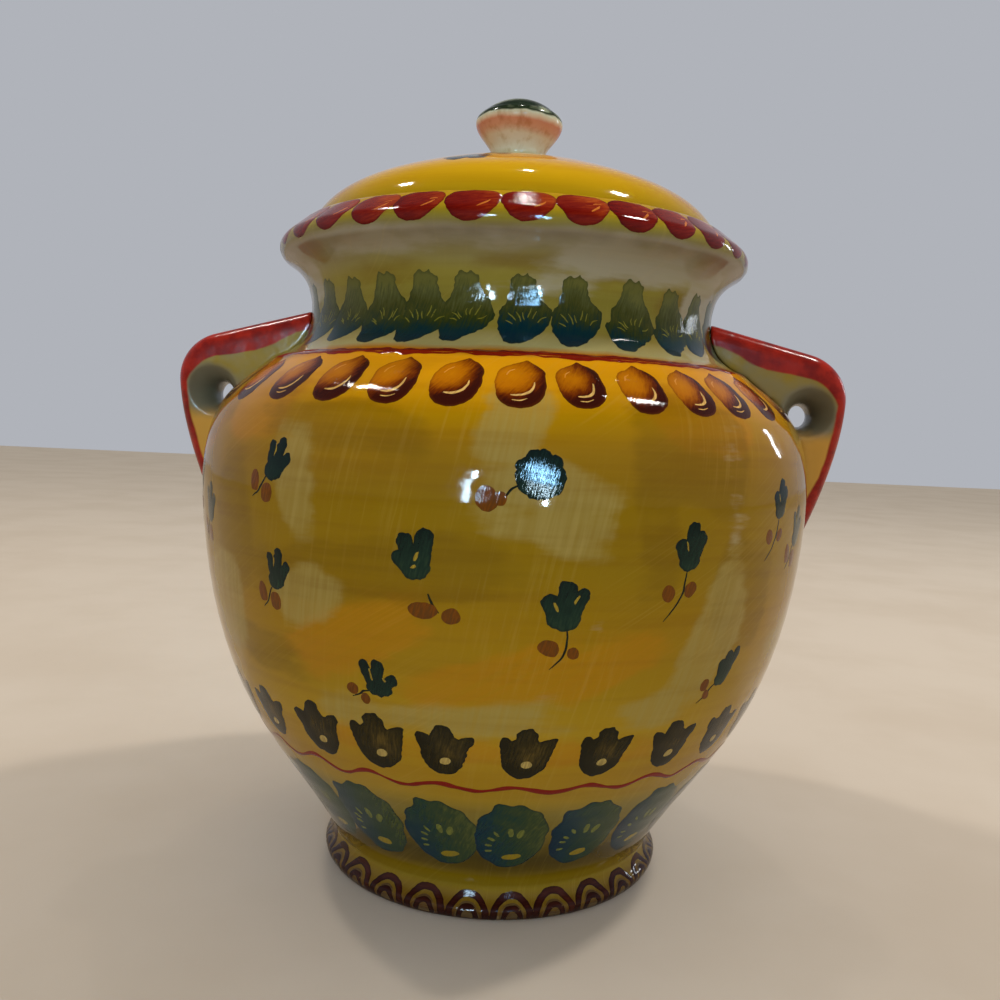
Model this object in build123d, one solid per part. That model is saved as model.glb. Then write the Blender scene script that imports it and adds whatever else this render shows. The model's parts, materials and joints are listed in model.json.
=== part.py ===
from build123d import *
import math
import os

# Biscuit jar in glazed earthenware: a round belly on a low turned foot, a short neck under a
# flaring rim, two lug handles on the shoulder, and a domed lid that sits on a ledge inside the rim.
# Millimetres, +Z up. The origin is the centre of the circle that the foot stands on.
# The front faces -Y, and the handles stand out along +X and -X.

# Foot
foot_contact_radius = 56.2
foot_bulge = 1.6
foot_bulge_rise = 3.4
foot_height = 9.4
foot_flare_angle = 35.0
foot_ring_width = 8.0
foot_recess = 4.5

# Belly: rises are measured from the top of the foot, insets from the belly's widest radius
waist_radius = 54.6
lower_belly_angle = 62.0
flank_inset = 16.1
flank_rise = 45.6
belly_radius = 99.8
belly_rise = 108.6
brow_inset = 7.4
brow_drop = 11.6
shoulder_inset = 20.9
shoulder_rise = 156.6
shoulder_angle = 42.0
wall = 5.5
floor_thickness = 7.0
floor_turn = 14.0

# Neck and rim, each rise measured from the form below it
neck_foot_angle = 20.0
neck_radius = 67.0
neck_rise = 18.0
flare_rise = 14.0
flare_angle = 30.0
rim_radius = 75.6
nose_rise = 6.6
nose_lean = 0.7
bevel_width = 6.0
bevel_rise = 5.0
crest_width = 1.3
ledge_depth = 5.6
ledge_width = 7.0
edge_chamfer = 0.5

# Lid
lid_gap = 1.0
lid_edge_rise = 4.8
lid_edge_angle = 68.0
dome_flank_inset = 22.0
dome_flank_rise = 21.7
dome_rise = 30.6
lid_wall = 5.0
skirt_gap = 1.0
skirt_depth = 8.0
skirt_thickness = 5.0
skirt_chamfer = 1.5

# Knob, each rise measured from the form below it
knob_root_radius = 11.4
knob_root_angle = 125.0
knob_stem_radius = 9.0
knob_stem_rise = 4.2
knob_radius = 14.6
knob_flare_rise = 8.7
knob_brow_radius = 12.4
knob_brow_rise = 3.9
knob_brow_angle = 150.0
knob_cap_rise = 4.8
knob_seat_depth = 3.0

# Handles, which stand out past the belly and hang from just under the neck's narrowest ring
handle_stand_out = 11.0
handle_top_drop = 0.2
handle_top_angle = 14.5
handle_corner_radius = 16.0
handle_length = 77.8
handle_tail_sink = 4.8
handle_width = 32.0
handle_tail_width = 13.0
handle_edge_radius = 5.0
hole_inset = 12.6
hole_drop = 29.4
hole_radius = 3.6
hole_mouth_radius = 9.8
hole_overrun = 1.0

# Where the inside walls take their points from the outer curves, as shares of each curve's length
neck_wall_shares = [0.62, 0.39, 0.16]
belly_wall_shares = [0.94, 0.78, 0.61, 0.45, 0.28, 0.12]
dome_wall_shares = [0.3, 0.52]


# A point of a meridian section, in the plane through the axis and +X
def at(radius, height):
    return Vector(radius, 0, height)


# A direction in the meridian section, in degrees up from +X
def heading(degrees):
    return Vector(math.cos(math.radians(degrees)), 0, math.sin(math.radians(degrees)))


# Points one wall in from a curve that runs up the outside
def wall_points(curve, thickness, shares):
    points = []
    for share in shares:
        along = curve % share
        points.append(curve @ share + Vector(-along.Z, 0, along.X) * thickness)
    return points


# A closed meridian section with some of its corners taken off
def chamfered(section, corners, length):
    chosen = []
    for vertex in section.vertices():
        if any((vertex.center() - corner).length < length / 10 for corner in corners):
            chosen.append(vertex)
    return chamfer(chosen, length)


# The solid that a closed meridian outline sweeps round the axis
def turned(edges):
    return revolve(make_face(Wire(edges)), Axis.Z)


# Radii and heights of the jar's forms
flank_radius = belly_radius - flank_inset
brow_radius = belly_radius - brow_inset
shoulder_radius = belly_radius - shoulder_inset
shoulder_height = foot_height + shoulder_rise
neck_height = shoulder_height + neck_rise
flare_height = neck_height + flare_rise
nose_top = at(rim_radius + nose_lean, flare_height + nose_rise)
crest_radius = nose_top.X - bevel_width
crest_height = nose_top.Z + bevel_rise

# Outer curves of the jar, from the foot up to the crest of the rim
foot_curve = Spline(
    at(foot_contact_radius, 0),
    at(foot_contact_radius + foot_bulge, foot_bulge_rise),
    at(waist_radius, foot_height),
    tangents=[heading(foot_flare_angle), heading(90)],
)
belly_curve = Spline(
    at(waist_radius, foot_height),
    at(flank_radius, foot_height + flank_rise),
    at(belly_radius, foot_height + belly_rise),
    at(brow_radius, shoulder_height - brow_drop),
    at(shoulder_radius, shoulder_height),
    tangents=[heading(lower_belly_angle), heading(180 - shoulder_angle)],
)
neck_curve = Spline(
    at(shoulder_radius, shoulder_height),
    at(neck_radius, neck_height),
    at(rim_radius, flare_height),
    tangents=[heading(180 - neck_foot_angle), heading(flare_angle)],
)
nose_curve = TangentArc(neck_curve @ 1, nose_top, tangent=heading(flare_angle))

# Inside of the jar, from the ledge down to the floor
rim_bore_radius = crest_radius - crest_width
neck_bore_radius = rim_bore_radius - ledge_width
ledge_height = crest_height - ledge_depth
bore_foot = at(neck_bore_radius, ledge_height - skirt_depth)
floor_height = foot_recess + floor_thickness
inside_curve = Spline(
    bore_foot,
    *wall_points(neck_curve, wall, neck_wall_shares),
    *wall_points(belly_curve, wall, belly_wall_shares),
)
floor_start = inside_curve @ 1
floor_heading = inside_curve % 1
floor_corner = floor_start + floor_heading * ((floor_start.Z - floor_height) / -floor_heading.Z)
floor_end = at(floor_corner.X - floor_turn, floor_height)

# The jar: foot ring and its recess, outside, rim, ledge, bore, inside and floor
foot_inner_radius = foot_contact_radius - foot_ring_width
recess_radius = foot_inner_radius - foot_recess
jar_outline = [
    Line(at(0, foot_recess), at(recess_radius, foot_recess)),
    Line(at(recess_radius, foot_recess), at(foot_inner_radius, 0)),
    Line(at(foot_inner_radius, 0), at(foot_contact_radius, 0)),
    foot_curve,
    belly_curve,
    neck_curve,
    nose_curve,
    Line(nose_top, at(crest_radius, crest_height)),
    Line(at(crest_radius, crest_height), at(rim_bore_radius, crest_height)),
    Line(at(rim_bore_radius, crest_height), at(rim_bore_radius, ledge_height)),
    Line(at(rim_bore_radius, ledge_height), at(neck_bore_radius, ledge_height)),
    Line(at(neck_bore_radius, ledge_height), bore_foot),
    inside_curve,
    Bezier(floor_start, floor_corner, floor_end),
    Line(floor_end, at(0, floor_height)),
    Line(at(0, floor_height), at(0, foot_recess)),
]
jar_corners = [
    at(foot_inner_radius, 0),
    at(crest_radius, crest_height),
    at(rim_bore_radius, crest_height),
    at(neck_bore_radius, ledge_height),
]
jar_section = chamfered(make_face(Wire(jar_outline)), jar_corners, edge_chamfer)
jar_body = revolve(jar_section, Axis.Z)

# The lid rests on the ledge. Its dome stands over the crest of the rim, and its skirt centres it.
lid_edge_radius = rim_bore_radius - lid_gap
lid_edge_height = ledge_height + lid_edge_rise
skirt_radius = neck_bore_radius - skirt_gap
skirt_bore_radius = skirt_radius - skirt_thickness
skirt_foot_height = ledge_height - skirt_depth
dome_height = ledge_height + dome_rise
dome_curve = Spline(
    at(lid_edge_radius, lid_edge_height),
    at(lid_edge_radius - dome_flank_inset, ledge_height + dome_flank_rise),
    at(0, dome_height),
    tangents=[heading(180 - lid_edge_angle), heading(180)],
)
flank_point, crown_point = wall_points(dome_curve, lid_wall, dome_wall_shares)
crown_underside = TangentArc(at(0, dome_height - lid_wall), crown_point, tangent=heading(0))
flank_underside = Spline(
    at(skirt_bore_radius, ledge_height),
    flank_point,
    crown_point,
    tangents=[heading(90), -(crown_underside % 1)],
)
lid_outline = [
    Line(at(skirt_radius, ledge_height), at(lid_edge_radius, ledge_height)),
    Line(at(lid_edge_radius, ledge_height), at(lid_edge_radius, lid_edge_height)),
    dome_curve,
    Line(at(0, dome_height), at(0, dome_height - lid_wall)),
    crown_underside,
    flank_underside,
    Line(at(skirt_bore_radius, ledge_height), at(skirt_bore_radius, skirt_foot_height)),
    Line(at(skirt_bore_radius, skirt_foot_height), at(skirt_radius, skirt_foot_height)),
    Line(at(skirt_radius, skirt_foot_height), at(skirt_radius, ledge_height)),
]
skirt_corners = [at(skirt_bore_radius, skirt_foot_height), at(skirt_radius, skirt_foot_height)]
lid_section = chamfered(make_face(Wire(lid_outline)), skirt_corners, skirt_chamfer)
lid = revolve(lid_section, Axis.Z)

# The knob stands on the crown of the dome, and its root is cut to the dome's curve
knob_foot_height = dome_height - knob_seat_depth
knob_stem_height = dome_height + knob_stem_rise
knob_widest_height = knob_stem_height + knob_flare_rise
knob_brow_height = knob_widest_height + knob_brow_rise
knob_top_height = knob_brow_height + knob_cap_rise
knob_outline = [
    Line(at(0, knob_foot_height), at(knob_root_radius, knob_foot_height)),
    Spline(
        at(knob_root_radius, knob_foot_height),
        at(knob_stem_radius, knob_stem_height),
        at(knob_radius, knob_widest_height),
        at(knob_brow_radius, knob_brow_height),
        tangents=[heading(knob_root_angle), heading(knob_brow_angle)],
    ),
    TangentArc(
        at(0, knob_top_height),
        at(knob_brow_radius, knob_brow_height),
        tangent=heading(0),
    ),
    Line(at(0, knob_top_height), at(0, knob_foot_height)),
]
dome_block = turned(
    [
        Line(at(0, ledge_height), at(lid_edge_radius, ledge_height)),
        Line(at(lid_edge_radius, ledge_height), at(lid_edge_radius, lid_edge_height)),
        dome_curve,
        Line(at(0, dome_height), at(0, ledge_height)),
    ]
)
lid_knob = turned(knob_outline) - dome_block

# One handle's side outline: down from the neck, round the corner, and in to a tail on the belly
handle_reach = belly_radius + handle_stand_out
handle_top_height = neck_height - handle_top_drop
handle_tail_height = handle_top_height - handle_length
handle_root_radius = neck_radius - wall
top_slope = math.tan(math.radians(handle_top_angle))
top_start = at(handle_root_radius, handle_top_height)
top_corner = at(handle_reach, handle_top_height - (handle_reach - handle_root_radius) * top_slope)
corner_length = handle_corner_radius / math.tan(math.radians((90 + handle_top_angle) / 2))
corner_start = top_corner + heading(180 - handle_top_angle) * corner_length
reach_point = top_corner + heading(-90) * corner_length
outline_foot = handle_tail_height - handle_edge_radius
tail_point = at(belly_radius - handle_tail_sink, outline_foot)
root_foot = at(handle_root_radius, outline_foot)
side_outline = [
    Line(top_start, corner_start),
    TangentArc(corner_start, reach_point, tangent=heading(-handle_top_angle)),
    TangentArc(reach_point, tail_point, tangent=heading(-90)),
    Line(tail_point, root_foot),
    Line(root_foot, top_start),
]
side_block = extrude(make_face(Wire(side_outline)), handle_width, both=True)

# The same handle's front outline: as wide as the lug at the top, and tapering to a rounded tail
half_width = handle_width / 2
half_tail = handle_tail_width / 2
block_top = handle_top_height + handle_edge_radius
tail_turn_height = handle_tail_height + half_tail
side_curve = Spline(
    Vector(0, half_width, block_top),
    Vector(0, half_width, reach_point.Z),
    Vector(0, half_tail, tail_turn_height),
    tangents=[heading(-90), heading(-90)],
)
front_outline = [
    side_curve,
    ThreePointArc(
        Vector(0, half_tail, tail_turn_height),
        Vector(0, 0, handle_tail_height),
        Vector(0, -half_tail, tail_turn_height),
    ),
    side_curve.mirror(Plane.XZ),
    Line(Vector(0, -half_width, block_top), Vector(0, half_width, block_top)),
]
front_block = extrude(make_face(Wire(front_outline)), handle_reach + wall, dir=(1, 0, 0))

# The lug's outer edges are rounded, all but the tail's own arc
lug_block = side_block & front_block
outer_edges = [
    edge
    for edge in lug_block.edges()
    if edge.center().X > neck_radius and abs(edge.center().Y) > half_tail + edge_chamfer
]
rounded_lug = fillet(outer_edges, handle_edge_radius)

# The hole narrows from a mouth on each side to a throat in the middle
hole_centre_radius = handle_reach - hole_inset
hole_centre_height = handle_top_height - hole_drop
mouth_radius = hole_centre_radius + hole_mouth_radius
mouth_depth = half_width + hole_overrun
near_mouth = Vector(mouth_radius, -mouth_depth, hole_centre_height)
far_mouth = Vector(mouth_radius, mouth_depth, hole_centre_height)
near_centre = Vector(hole_centre_radius, -mouth_depth, hole_centre_height)
far_centre = Vector(hole_centre_radius, mouth_depth, hole_centre_height)
throat = Vector(hole_centre_radius + hole_radius, 0, hole_centre_height)
hole_outline = [
    ThreePointArc(near_mouth, throat, far_mouth),
    Line(far_mouth, far_centre),
    Line(far_centre, near_centre),
    Line(near_centre, near_mouth),
]
hole = revolve(make_face(Wire(hole_outline)), Axis(near_centre, (0, 1, 0)))

# Each handle is cut to the jar's own curve where it is luted on
jar_block = turned(
    [
        Line(at(0, 0), at(foot_contact_radius, 0)),
        foot_curve,
        belly_curve,
        neck_curve,
        Line(neck_curve @ 1, at(0, flare_height)),
        Line(at(0, flare_height), at(0, 0)),
    ]
)
right_handle = rounded_lug - hole - jar_block
left_handle = right_handle.mirror(Plane.YZ)

os.makedirs("parts", exist_ok=True)
export_step(jar_body, "parts/jar_body.step")
export_step(right_handle, "parts/right_handle.step")
export_step(left_handle, "parts/left_handle.step")
export_step(lid, "parts/lid.step")
export_step(lid_knob, "parts/lid_knob.step")
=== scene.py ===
import json
import math
import random

import bpy
import bmesh
import numpy as np
from mathutils import Matrix, Vector, noise
from mathutils.geometry import delaunay_2d_cdt

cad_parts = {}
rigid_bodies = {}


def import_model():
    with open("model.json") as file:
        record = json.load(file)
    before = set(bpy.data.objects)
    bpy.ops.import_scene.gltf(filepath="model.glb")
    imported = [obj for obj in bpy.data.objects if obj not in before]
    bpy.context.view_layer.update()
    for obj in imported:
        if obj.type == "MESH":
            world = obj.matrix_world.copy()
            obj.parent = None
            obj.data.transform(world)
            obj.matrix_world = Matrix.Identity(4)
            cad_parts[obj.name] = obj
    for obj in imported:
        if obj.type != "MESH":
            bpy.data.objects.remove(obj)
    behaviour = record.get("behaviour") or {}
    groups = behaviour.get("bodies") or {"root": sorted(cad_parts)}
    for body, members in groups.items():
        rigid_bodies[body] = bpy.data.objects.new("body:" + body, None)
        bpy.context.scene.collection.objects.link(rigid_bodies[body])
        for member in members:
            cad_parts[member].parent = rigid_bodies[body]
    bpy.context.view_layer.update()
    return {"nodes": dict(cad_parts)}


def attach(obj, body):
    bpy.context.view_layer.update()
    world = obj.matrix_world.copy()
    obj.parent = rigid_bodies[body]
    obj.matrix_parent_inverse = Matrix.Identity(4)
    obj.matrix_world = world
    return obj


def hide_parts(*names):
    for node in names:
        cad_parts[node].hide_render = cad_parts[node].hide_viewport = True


# Biscuit jar in painted earthenware: thrown jar, lid and knob, two lugs, and the painted bands.
# Lengths in the dictionaries are millimetres, turns are degrees to the right of the front.

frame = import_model()
mm = 0.001

scene = bpy.context.scene
scene.view_settings.view_transform = "Standard"


# Small helpers for node trees. Each works in the tree of the sockets that it is given
def isSocket(value):
    return isinstance(value, bpy.types.NodeSocket)


def treeOf(*values):
    return next(v.id_data for v in values if isSocket(v))


def feed(socket, value):
    if isSocket(value):
        socket.id_data.links.new(value, socket)
    else:
        socket.default_value = value


def put(tree, kind, inputs=None, **settings):
    node = tree.nodes.new(kind)
    count = len(tree.nodes)
    node.location = (count % 9 * 210, -(count // 9) * 260)
    for key, value in settings.items():
        setattr(node, key, value)
    for key, value in (inputs or {}).items():
        if isinstance(key, int):
            socket = node.inputs[key]
        else:
            socket = next(s for s in node.inputs if s.name == key and s.enabled)
        feed(socket, value)
    return node


def out(node, name=None):
    return next(s for s in node.outputs if s.enabled and name in (None, s.name))


def calc(operation, *values):
    return out(put(treeOf(*values), "ShaderNodeMath", dict(enumerate(values)), operation=operation))


def vectorCalc(operation, *values):
    inputs = dict(enumerate(values))
    return out(put(treeOf(*values), "ShaderNodeVectorMath", inputs, operation=operation))


def add(first, *others):
    for value in others:
        first = calc("ADD", first, value)
    return first


def less(first, second):
    return calc("SUBTRACT", first, second)


def times(first, *others):
    for value in others:
        first = calc("MULTIPLY", first, value)
    return first


def over(first, second):
    return calc("DIVIDE", first, second)


def centred(noise, amount):  # a noise between 0 and 1 made to swing about nought
    return times(less(noise, 0.5), amount)


def combine(x, y, z):
    return out(put(treeOf(x, y, z), "ShaderNodeCombineXYZ", {0: x, 1: y, 2: z}))


def split(vector):
    return put(vector.id_data, "ShaderNodeSeparateXYZ", {0: vector}).outputs


def roundAxis(radius, turn, height):
    return combine(times(radius, calc("COSINE", turn)), times(radius, calc("SINE", turn)), height)


# Meridian curves: a smooth line through points with a heading at each end
def heading(angle):
    return np.array([math.cos(math.radians(angle)), math.sin(math.radians(angle))])


def smoothLine(points, startAngle, endAngle, speeds, spacing):
    p = np.array(points, float)
    count = len(p)
    spans = np.linalg.norm(np.diff(p, axis=0), axis=1)
    system = np.zeros((count, count))
    right = np.zeros((count, 2))
    system[0, 0] = system[-1, -1] = 1
    right[0] = heading(startAngle) * speeds[0]
    right[-1] = heading(endAngle) * speeds[1]
    for i in range(1, count - 1):
        a, b = spans[i - 1], spans[i]
        system[i, i - 1 : i + 2] = 1 / a, 2 / a + 2 / b, 1 / b
        right[i] = 3 * ((p[i] - p[i - 1]) / a**2 + (p[i + 1] - p[i]) / b**2)
    slopes = np.linalg.solve(system, right)
    line = [p[0]]
    for i in range(count - 1):
        steps = max(2, round(spans[i] / spacing))
        for u in np.linspace(0, 1, steps + 1)[1:]:
            line.append(
                (2 * u**3 - 3 * u**2 + 1) * p[i]
                + (u**3 - 2 * u**2 + u) * spans[i] * slopes[i]
                + (3 * u**2 - 2 * u**3) * p[i + 1]
                + (u**3 - u**2) * spans[i] * slopes[i + 1]
            )
    return line


def arcLine(start, end, startAngle, spacing):
    start, end = np.array(start, float), np.array(end, float)
    chord = end - start
    turn = 2 * (math.atan2(chord[1], chord[0]) - math.radians(startAngle))
    turn = (turn + math.pi) % (2 * math.pi) - math.pi
    radius = np.linalg.norm(chord) / 2 / math.sin(turn / 2)
    centre = start + heading(startAngle + 90) * radius
    x, y = start - centre
    steps = max(2, round(abs(radius * turn) / spacing))
    line = []
    for u in np.linspace(0, 1, steps + 1):
        c, s = math.cos(u * turn), math.sin(u * turn)
        line.append(centre + (x * c - y * s, x * s + y * c))
    return line


def straightLine(points, spacing):
    p = [np.array(q, float) for q in points]
    line = [p[0]]
    for a, b in zip(p, p[1:]):
        steps = max(1, round(np.linalg.norm(b - a) / spacing))
        line += [a + (b - a) * u for u in np.linspace(0, 1, steps + 1)[1:]]
    return line


def sideways(line):
    p = np.array(line)
    along = np.gradient(p, axis=0)
    along /= np.linalg.norm(along, axis=1)[:, None]
    return np.stack([along[:, 1], -along[:, 0]], axis=1)


def walkedAlong(line):
    return np.r_[0, np.cumsum(np.linalg.norm(np.diff(line, axis=0), axis=1))]


jarForm = {
    "footContact": 56.2,
    "footBulge": (57.8, 3.4),
    "waist": (54.6, 9.4),
    "flank": (83.7, 55.0),
    "belly": (99.8, 118.0),
    "brow": (92.4, 154.4),
    "shoulder": (78.9, 166.0),
    "neck": (67.0, 184.0),
    "flare": (75.6, 198.0),
    "noseTop": (76.3, 204.6),
    "arris": (70.3, 209.6),
    "crest": (69.0, 209.6),
    "ledge": (62.0, 204.0),
    "boreFoot": 196.0,
    "wall": 5.5,
    "floor": 11.5,
    "footRing": 8.0,
    "recess": 4.5,
    # headings at the two ends of each curve, and how strongly it keeps to them
    "footCurve": (35, 90, (1.19, 1.92)),
    "bellyCurve": (62, 138, (1.08, 0.94)),
    "neckCurve": (160, 30, (1.55, 1.35)),
    "noseAngle": 30,
    "skin": 0.14,  # the glaze lies this far inside the solid, so the paint on it stays inside too
    "ringDepth": 0.05,  # throwing rings
    "ringPitch": 7.5,
    "ringed": (14, 196),  # between these heights
    "ringFade": 10,
    "glazedRim": 8,  # points of the rim that carry the outer glaze
    "scratched": 0.13,
    "segments": 256,
}


def bellyLine(spacing):
    f = jarForm
    points = [f["waist"], f["flank"], f["belly"], f["brow"], f["shoulder"]]
    return smoothLine(points, *f["bellyCurve"], spacing)


def neckLine(spacing):
    f = jarForm
    return smoothLine([f["shoulder"], f["neck"], f["flare"]], *f["neckCurve"], spacing)


def jarOutside():
    f = jarForm
    line = smoothLine([(f["footContact"], 0), f["footBulge"], f["waist"]], *f["footCurve"], 0.55)
    line += bellyLine(1.0)[1:] + neckLine(0.9)[1:]
    line += arcLine(f["flare"], f["noseTop"], f["noseAngle"], 0.55)[1:]
    line += straightLine([f["noseTop"], f["arris"]], 0.9)[1:]
    p = np.array(line)
    walked = walkedAlong(p)
    ease = np.clip(walked / 2, 0, 1)
    rings = f["ringDepth"] * (0.5 + 0.5 * np.sin(walked * 2 * math.pi / f["ringPitch"]))
    first, last = f["ringed"]
    rings *= np.clip((p[:, 1] - first) / f["ringFade"], 0, 1)
    rings *= np.clip((last - p[:, 1]) / f["ringFade"], 0, 1)
    return p - sideways(p) * (f["skin"] * ease + rings)[:, None]


def innerWall(line, wall, keep):  # the same line a wall's thickness further in, from the top down
    inner = (np.array(line) - sideways(line) * wall)[::-1]
    return [q for q in inner if keep(q)]


def jarMeridian():
    f = jarForm
    outside = jarOutside()
    inside = innerWall(neckLine(3.0), f["wall"], lambda q: 169 < q[1] < 188)
    inside += innerWall(bellyLine(3.5), f["wall"], lambda q: 22 < q[1] < 163)
    last = inside[-1]
    corner = np.array([last[0] - 6.5, f["floor"]])
    for u in np.linspace(0, 1, 9)[1:]:
        inside.append((1 - u) ** 2 * last + 2 * u * (1 - u) * corner + u * u * (corner - (12, 0)))
    inside += straightLine([inside[-1] - (3, 0), (0, f["floor"])], 4.0)
    arris, (crest, top), (ledge, seat) = f["arris"], f["crest"], f["ledge"]
    rim = straightLine([(arris[0] - 0.1, arris[1] - 0.12), (crest + 0.45, top - 0.12)], 0.6)
    rim += [np.array([crest + 0.1, top - 0.5])]
    rim += straightLine([(crest, top - 0.9), (crest, seat + 0.4)], 1.2)
    rim += [np.array([crest - 0.35, seat])]
    rim += straightLine([(crest - 1, seat), (ledge + 0.5, seat)], 1.5)
    rim += [np.array([ledge + 0.1, seat - 0.2])]
    rim += straightLine([(ledge, seat - 0.6), (ledge, f["boreFoot"])], 2.0)
    ring, recess = f["footContact"] - f["footRing"], f["recess"]
    under = straightLine([(0, recess), (ring - recess - 1, recess)], 4.0)
    under += straightLine([(ring - recess + 0.4, recess - 0.2), (ring - 0.3, 0.35)], 1.0)
    under += straightLine([(ring + 0.5, 0), (f["footContact"] - 0.4, 0)], 1.5)
    line = under + list(outside[1:-1]) + rim + inside
    sides = [1.0] * len(under) + [0.0] * (len(outside) - 2 + f["glazedRim"])
    return np.array(line), sides + [2.0] * (len(line) - len(sides))  # 1 bare clay, 2 the inside


def placed(name, data):
    obj = bpy.data.objects.new(name, data)
    scene.collection.objects.link(obj)
    return obj


def meridianObject(name, line, sides=None):
    mesh = bpy.data.meshes.new(name)
    links = [(i, i + 1) for i in range(len(line) - 1)]
    mesh.from_pydata([(q[0] * mm, 0, q[1] * mm) for q in line], links, [])
    side = mesh.attributes.new("side", "FLOAT", "POINT")
    side.data.foreach_set("value", sides or [0.0] * len(line))
    return placed(name, mesh)


def openTree(name, inputs, output):
    tree = bpy.data.node_groups.new(name, "GeometryNodeTree")
    for direction, items in (("INPUT", inputs), ("OUTPUT", [(output, "Geometry")])):
        for label, kind, *default in items:
            item = tree.interface.new_socket(
                name=label, in_out=direction, socket_type="NodeSocket" + kind
            )
            if default:
                item.default_value = default[0]
    return tree, put(tree, "NodeGroupInput").outputs


def position(tree):
    return out(put(tree, "GeometryNodeInputPosition"))


def namedField(tree, name):
    node = put(tree, "GeometryNodeInputNamedAttribute", {"Name": name}, data_type="FLOAT")
    return out(node, "Attribute")


def sampleAt(geometry, value, index, kind="FLOAT"):
    inputs = {"Geometry": geometry, "Value": value, "Index": index}
    return out(put(index.id_data, "GeometryNodeSampleIndex", inputs, data_type=kind, domain="POINT"))


def stored(geometry, name, value, domain="POINT"):
    inputs = {"Geometry": geometry, "Name": name, "Value": value}
    kind = "GeometryNodeStoreNamedAttribute"
    return out(put(geometry.id_data, kind, inputs, data_type="FLOAT", domain=domain))


def moved(geometry, place, by="Position"):
    return out(put(geometry.id_data, "GeometryNodeSetPosition", {"Geometry": geometry, by: place}))


def realized(geometry):
    return out(put(geometry.id_data, "GeometryNodeRealizeInstances", {"Geometry": geometry}))


def welded(geometry, distance):
    inputs = {"Geometry": geometry, "Distance": distance}
    return out(put(geometry.id_data, "GeometryNodeMergeByDistance", inputs))


def endTree(geometry, material, output):
    inputs = {"Geometry": realized(geometry), "Material": material}
    glazed = put(geometry.id_data, "GeometryNodeSetMaterial", inputs)
    put(geometry.id_data, "NodeGroupOutput", {output: out(glazed)})


# A grid to be rolled up round the axis: the grid, and for each point its row and its turn
def rolledSheet(tree, segments, rows):
    size = {"Vertices X": add(segments, 1), "Vertices Y": rows}
    sheet = out(put(tree, "GeometryNodeMeshGrid", size), "Mesh")
    index = out(put(tree, "GeometryNodeInputIndex"))
    column = calc("FLOOR", over(add(index, 0.5), rows))
    return sheet, calc("MODULO", index, rows), times(over(column, segments), 2 * math.pi)


# Throws a meridian line round the axis: each row of the sheet is one point of the line
def throwingTree():
    tree, given = openTree(
        "throwing",
        [
            ("Meridian", "Geometry"), ("Segments", "Int", 240), ("Weld", "Float", 0.000002),
            ("Glaze", "Material"),
        ],
        "Pot",
    )
    line = given["Meridian"]
    size = put(tree, "GeometryNodeAttributeDomainSize", {"Geometry": line}, component="MESH")
    sheet, row, turn = rolledSheet(tree, given["Segments"], size.outputs["Point Count"])
    spot = split(sampleAt(line, position(tree), row, "FLOAT_VECTOR"))
    sheet = stored(sheet, "side", sampleAt(line, namedField(tree, "side"), row))
    pot = moved(sheet, roundAxis(spot[0], turn, spot[2]))
    endTree(welded(pot, given["Weld"]), given["Glaze"], "Pot")
    return tree


def plainMesh(obj, keepLayers):
    graph = bpy.context.evaluated_depsgraph_get()
    mesh = bpy.data.meshes.new_from_object(
        obj.evaluated_get(graph), preserve_all_data_layers=keepLayers, depsgraph=graph
    )
    obj.modifiers.clear()
    obj.data = mesh
    mesh.name = obj.name


def runTree(obj, tree, values):
    modifier = obj.modifiers.new(tree.name, "NODES")
    modifier.node_group = tree
    for item in tree.interface.items_tree:
        if item.item_type == "SOCKET" and item.in_out == "INPUT" and item.name in values:
            modifier[item.identifier] = values[item.name]
    plainMesh(obj, True)
    outwards(obj.data)


def coordinates(mesh):
    co = np.empty(len(mesh.vertices) * 3)
    mesh.vertices.foreach_get("co", co)
    return co.reshape(-1, 3)


def meshVolume(mesh):
    mesh.calc_loop_triangles()
    corners = np.empty(len(mesh.loop_triangles) * 3, int)
    mesh.loop_triangles.foreach_get("vertices", corners)
    a, b, c = coordinates(mesh)[corners.reshape(-1, 3)].transpose(1, 0, 2)
    return np.einsum("ij,ij->i", a, np.cross(b, c)).sum() / 6


def outwards(mesh):
    if meshVolume(mesh) < 0:
        mesh.flip_normals()
    mesh.shade_smooth()
    mesh.set_sharp_from_angle(angle=math.radians(50))


def setField(mesh, name, values):
    field = mesh.attributes.get(name) or mesh.attributes.new(name, "FLOAT", "POINT")
    field.data.foreach_set("value", np.asarray(values, np.float32))


# Brush strokes of the ground colour: how far inside a stroke each point lies
def strokeField(mesh, strokes, reach):
    co = coordinates(mesh) / mm
    turn = np.degrees(np.arctan2(co[:, 1], co[:, 0])) + 90
    field = np.full(len(co), -1.0)
    radius = np.hypot(co[:, 0], co[:, 1])
    for strokeTurn, height, halfWidth, halfHeight, tilt, strength in strokes:
        dx = np.radians((turn - strokeTurn + 180) % 360 - 180) * radius
        dy = co[:, 2] - height
        c, s = math.cos(math.radians(tilt)), math.sin(math.radians(tilt))
        u, v = dx * c + dy * s, dy * c - dx * s
        rim = (abs(u / halfWidth) ** 3 + abs(v / halfHeight) ** 3) ** (1 / 3)
        inside = (1 - rim) * min(halfWidth, halfHeight) / reach
        field = np.maximum(field, np.clip(inside, -1, 1) - (1 - strength))
    return field


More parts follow.
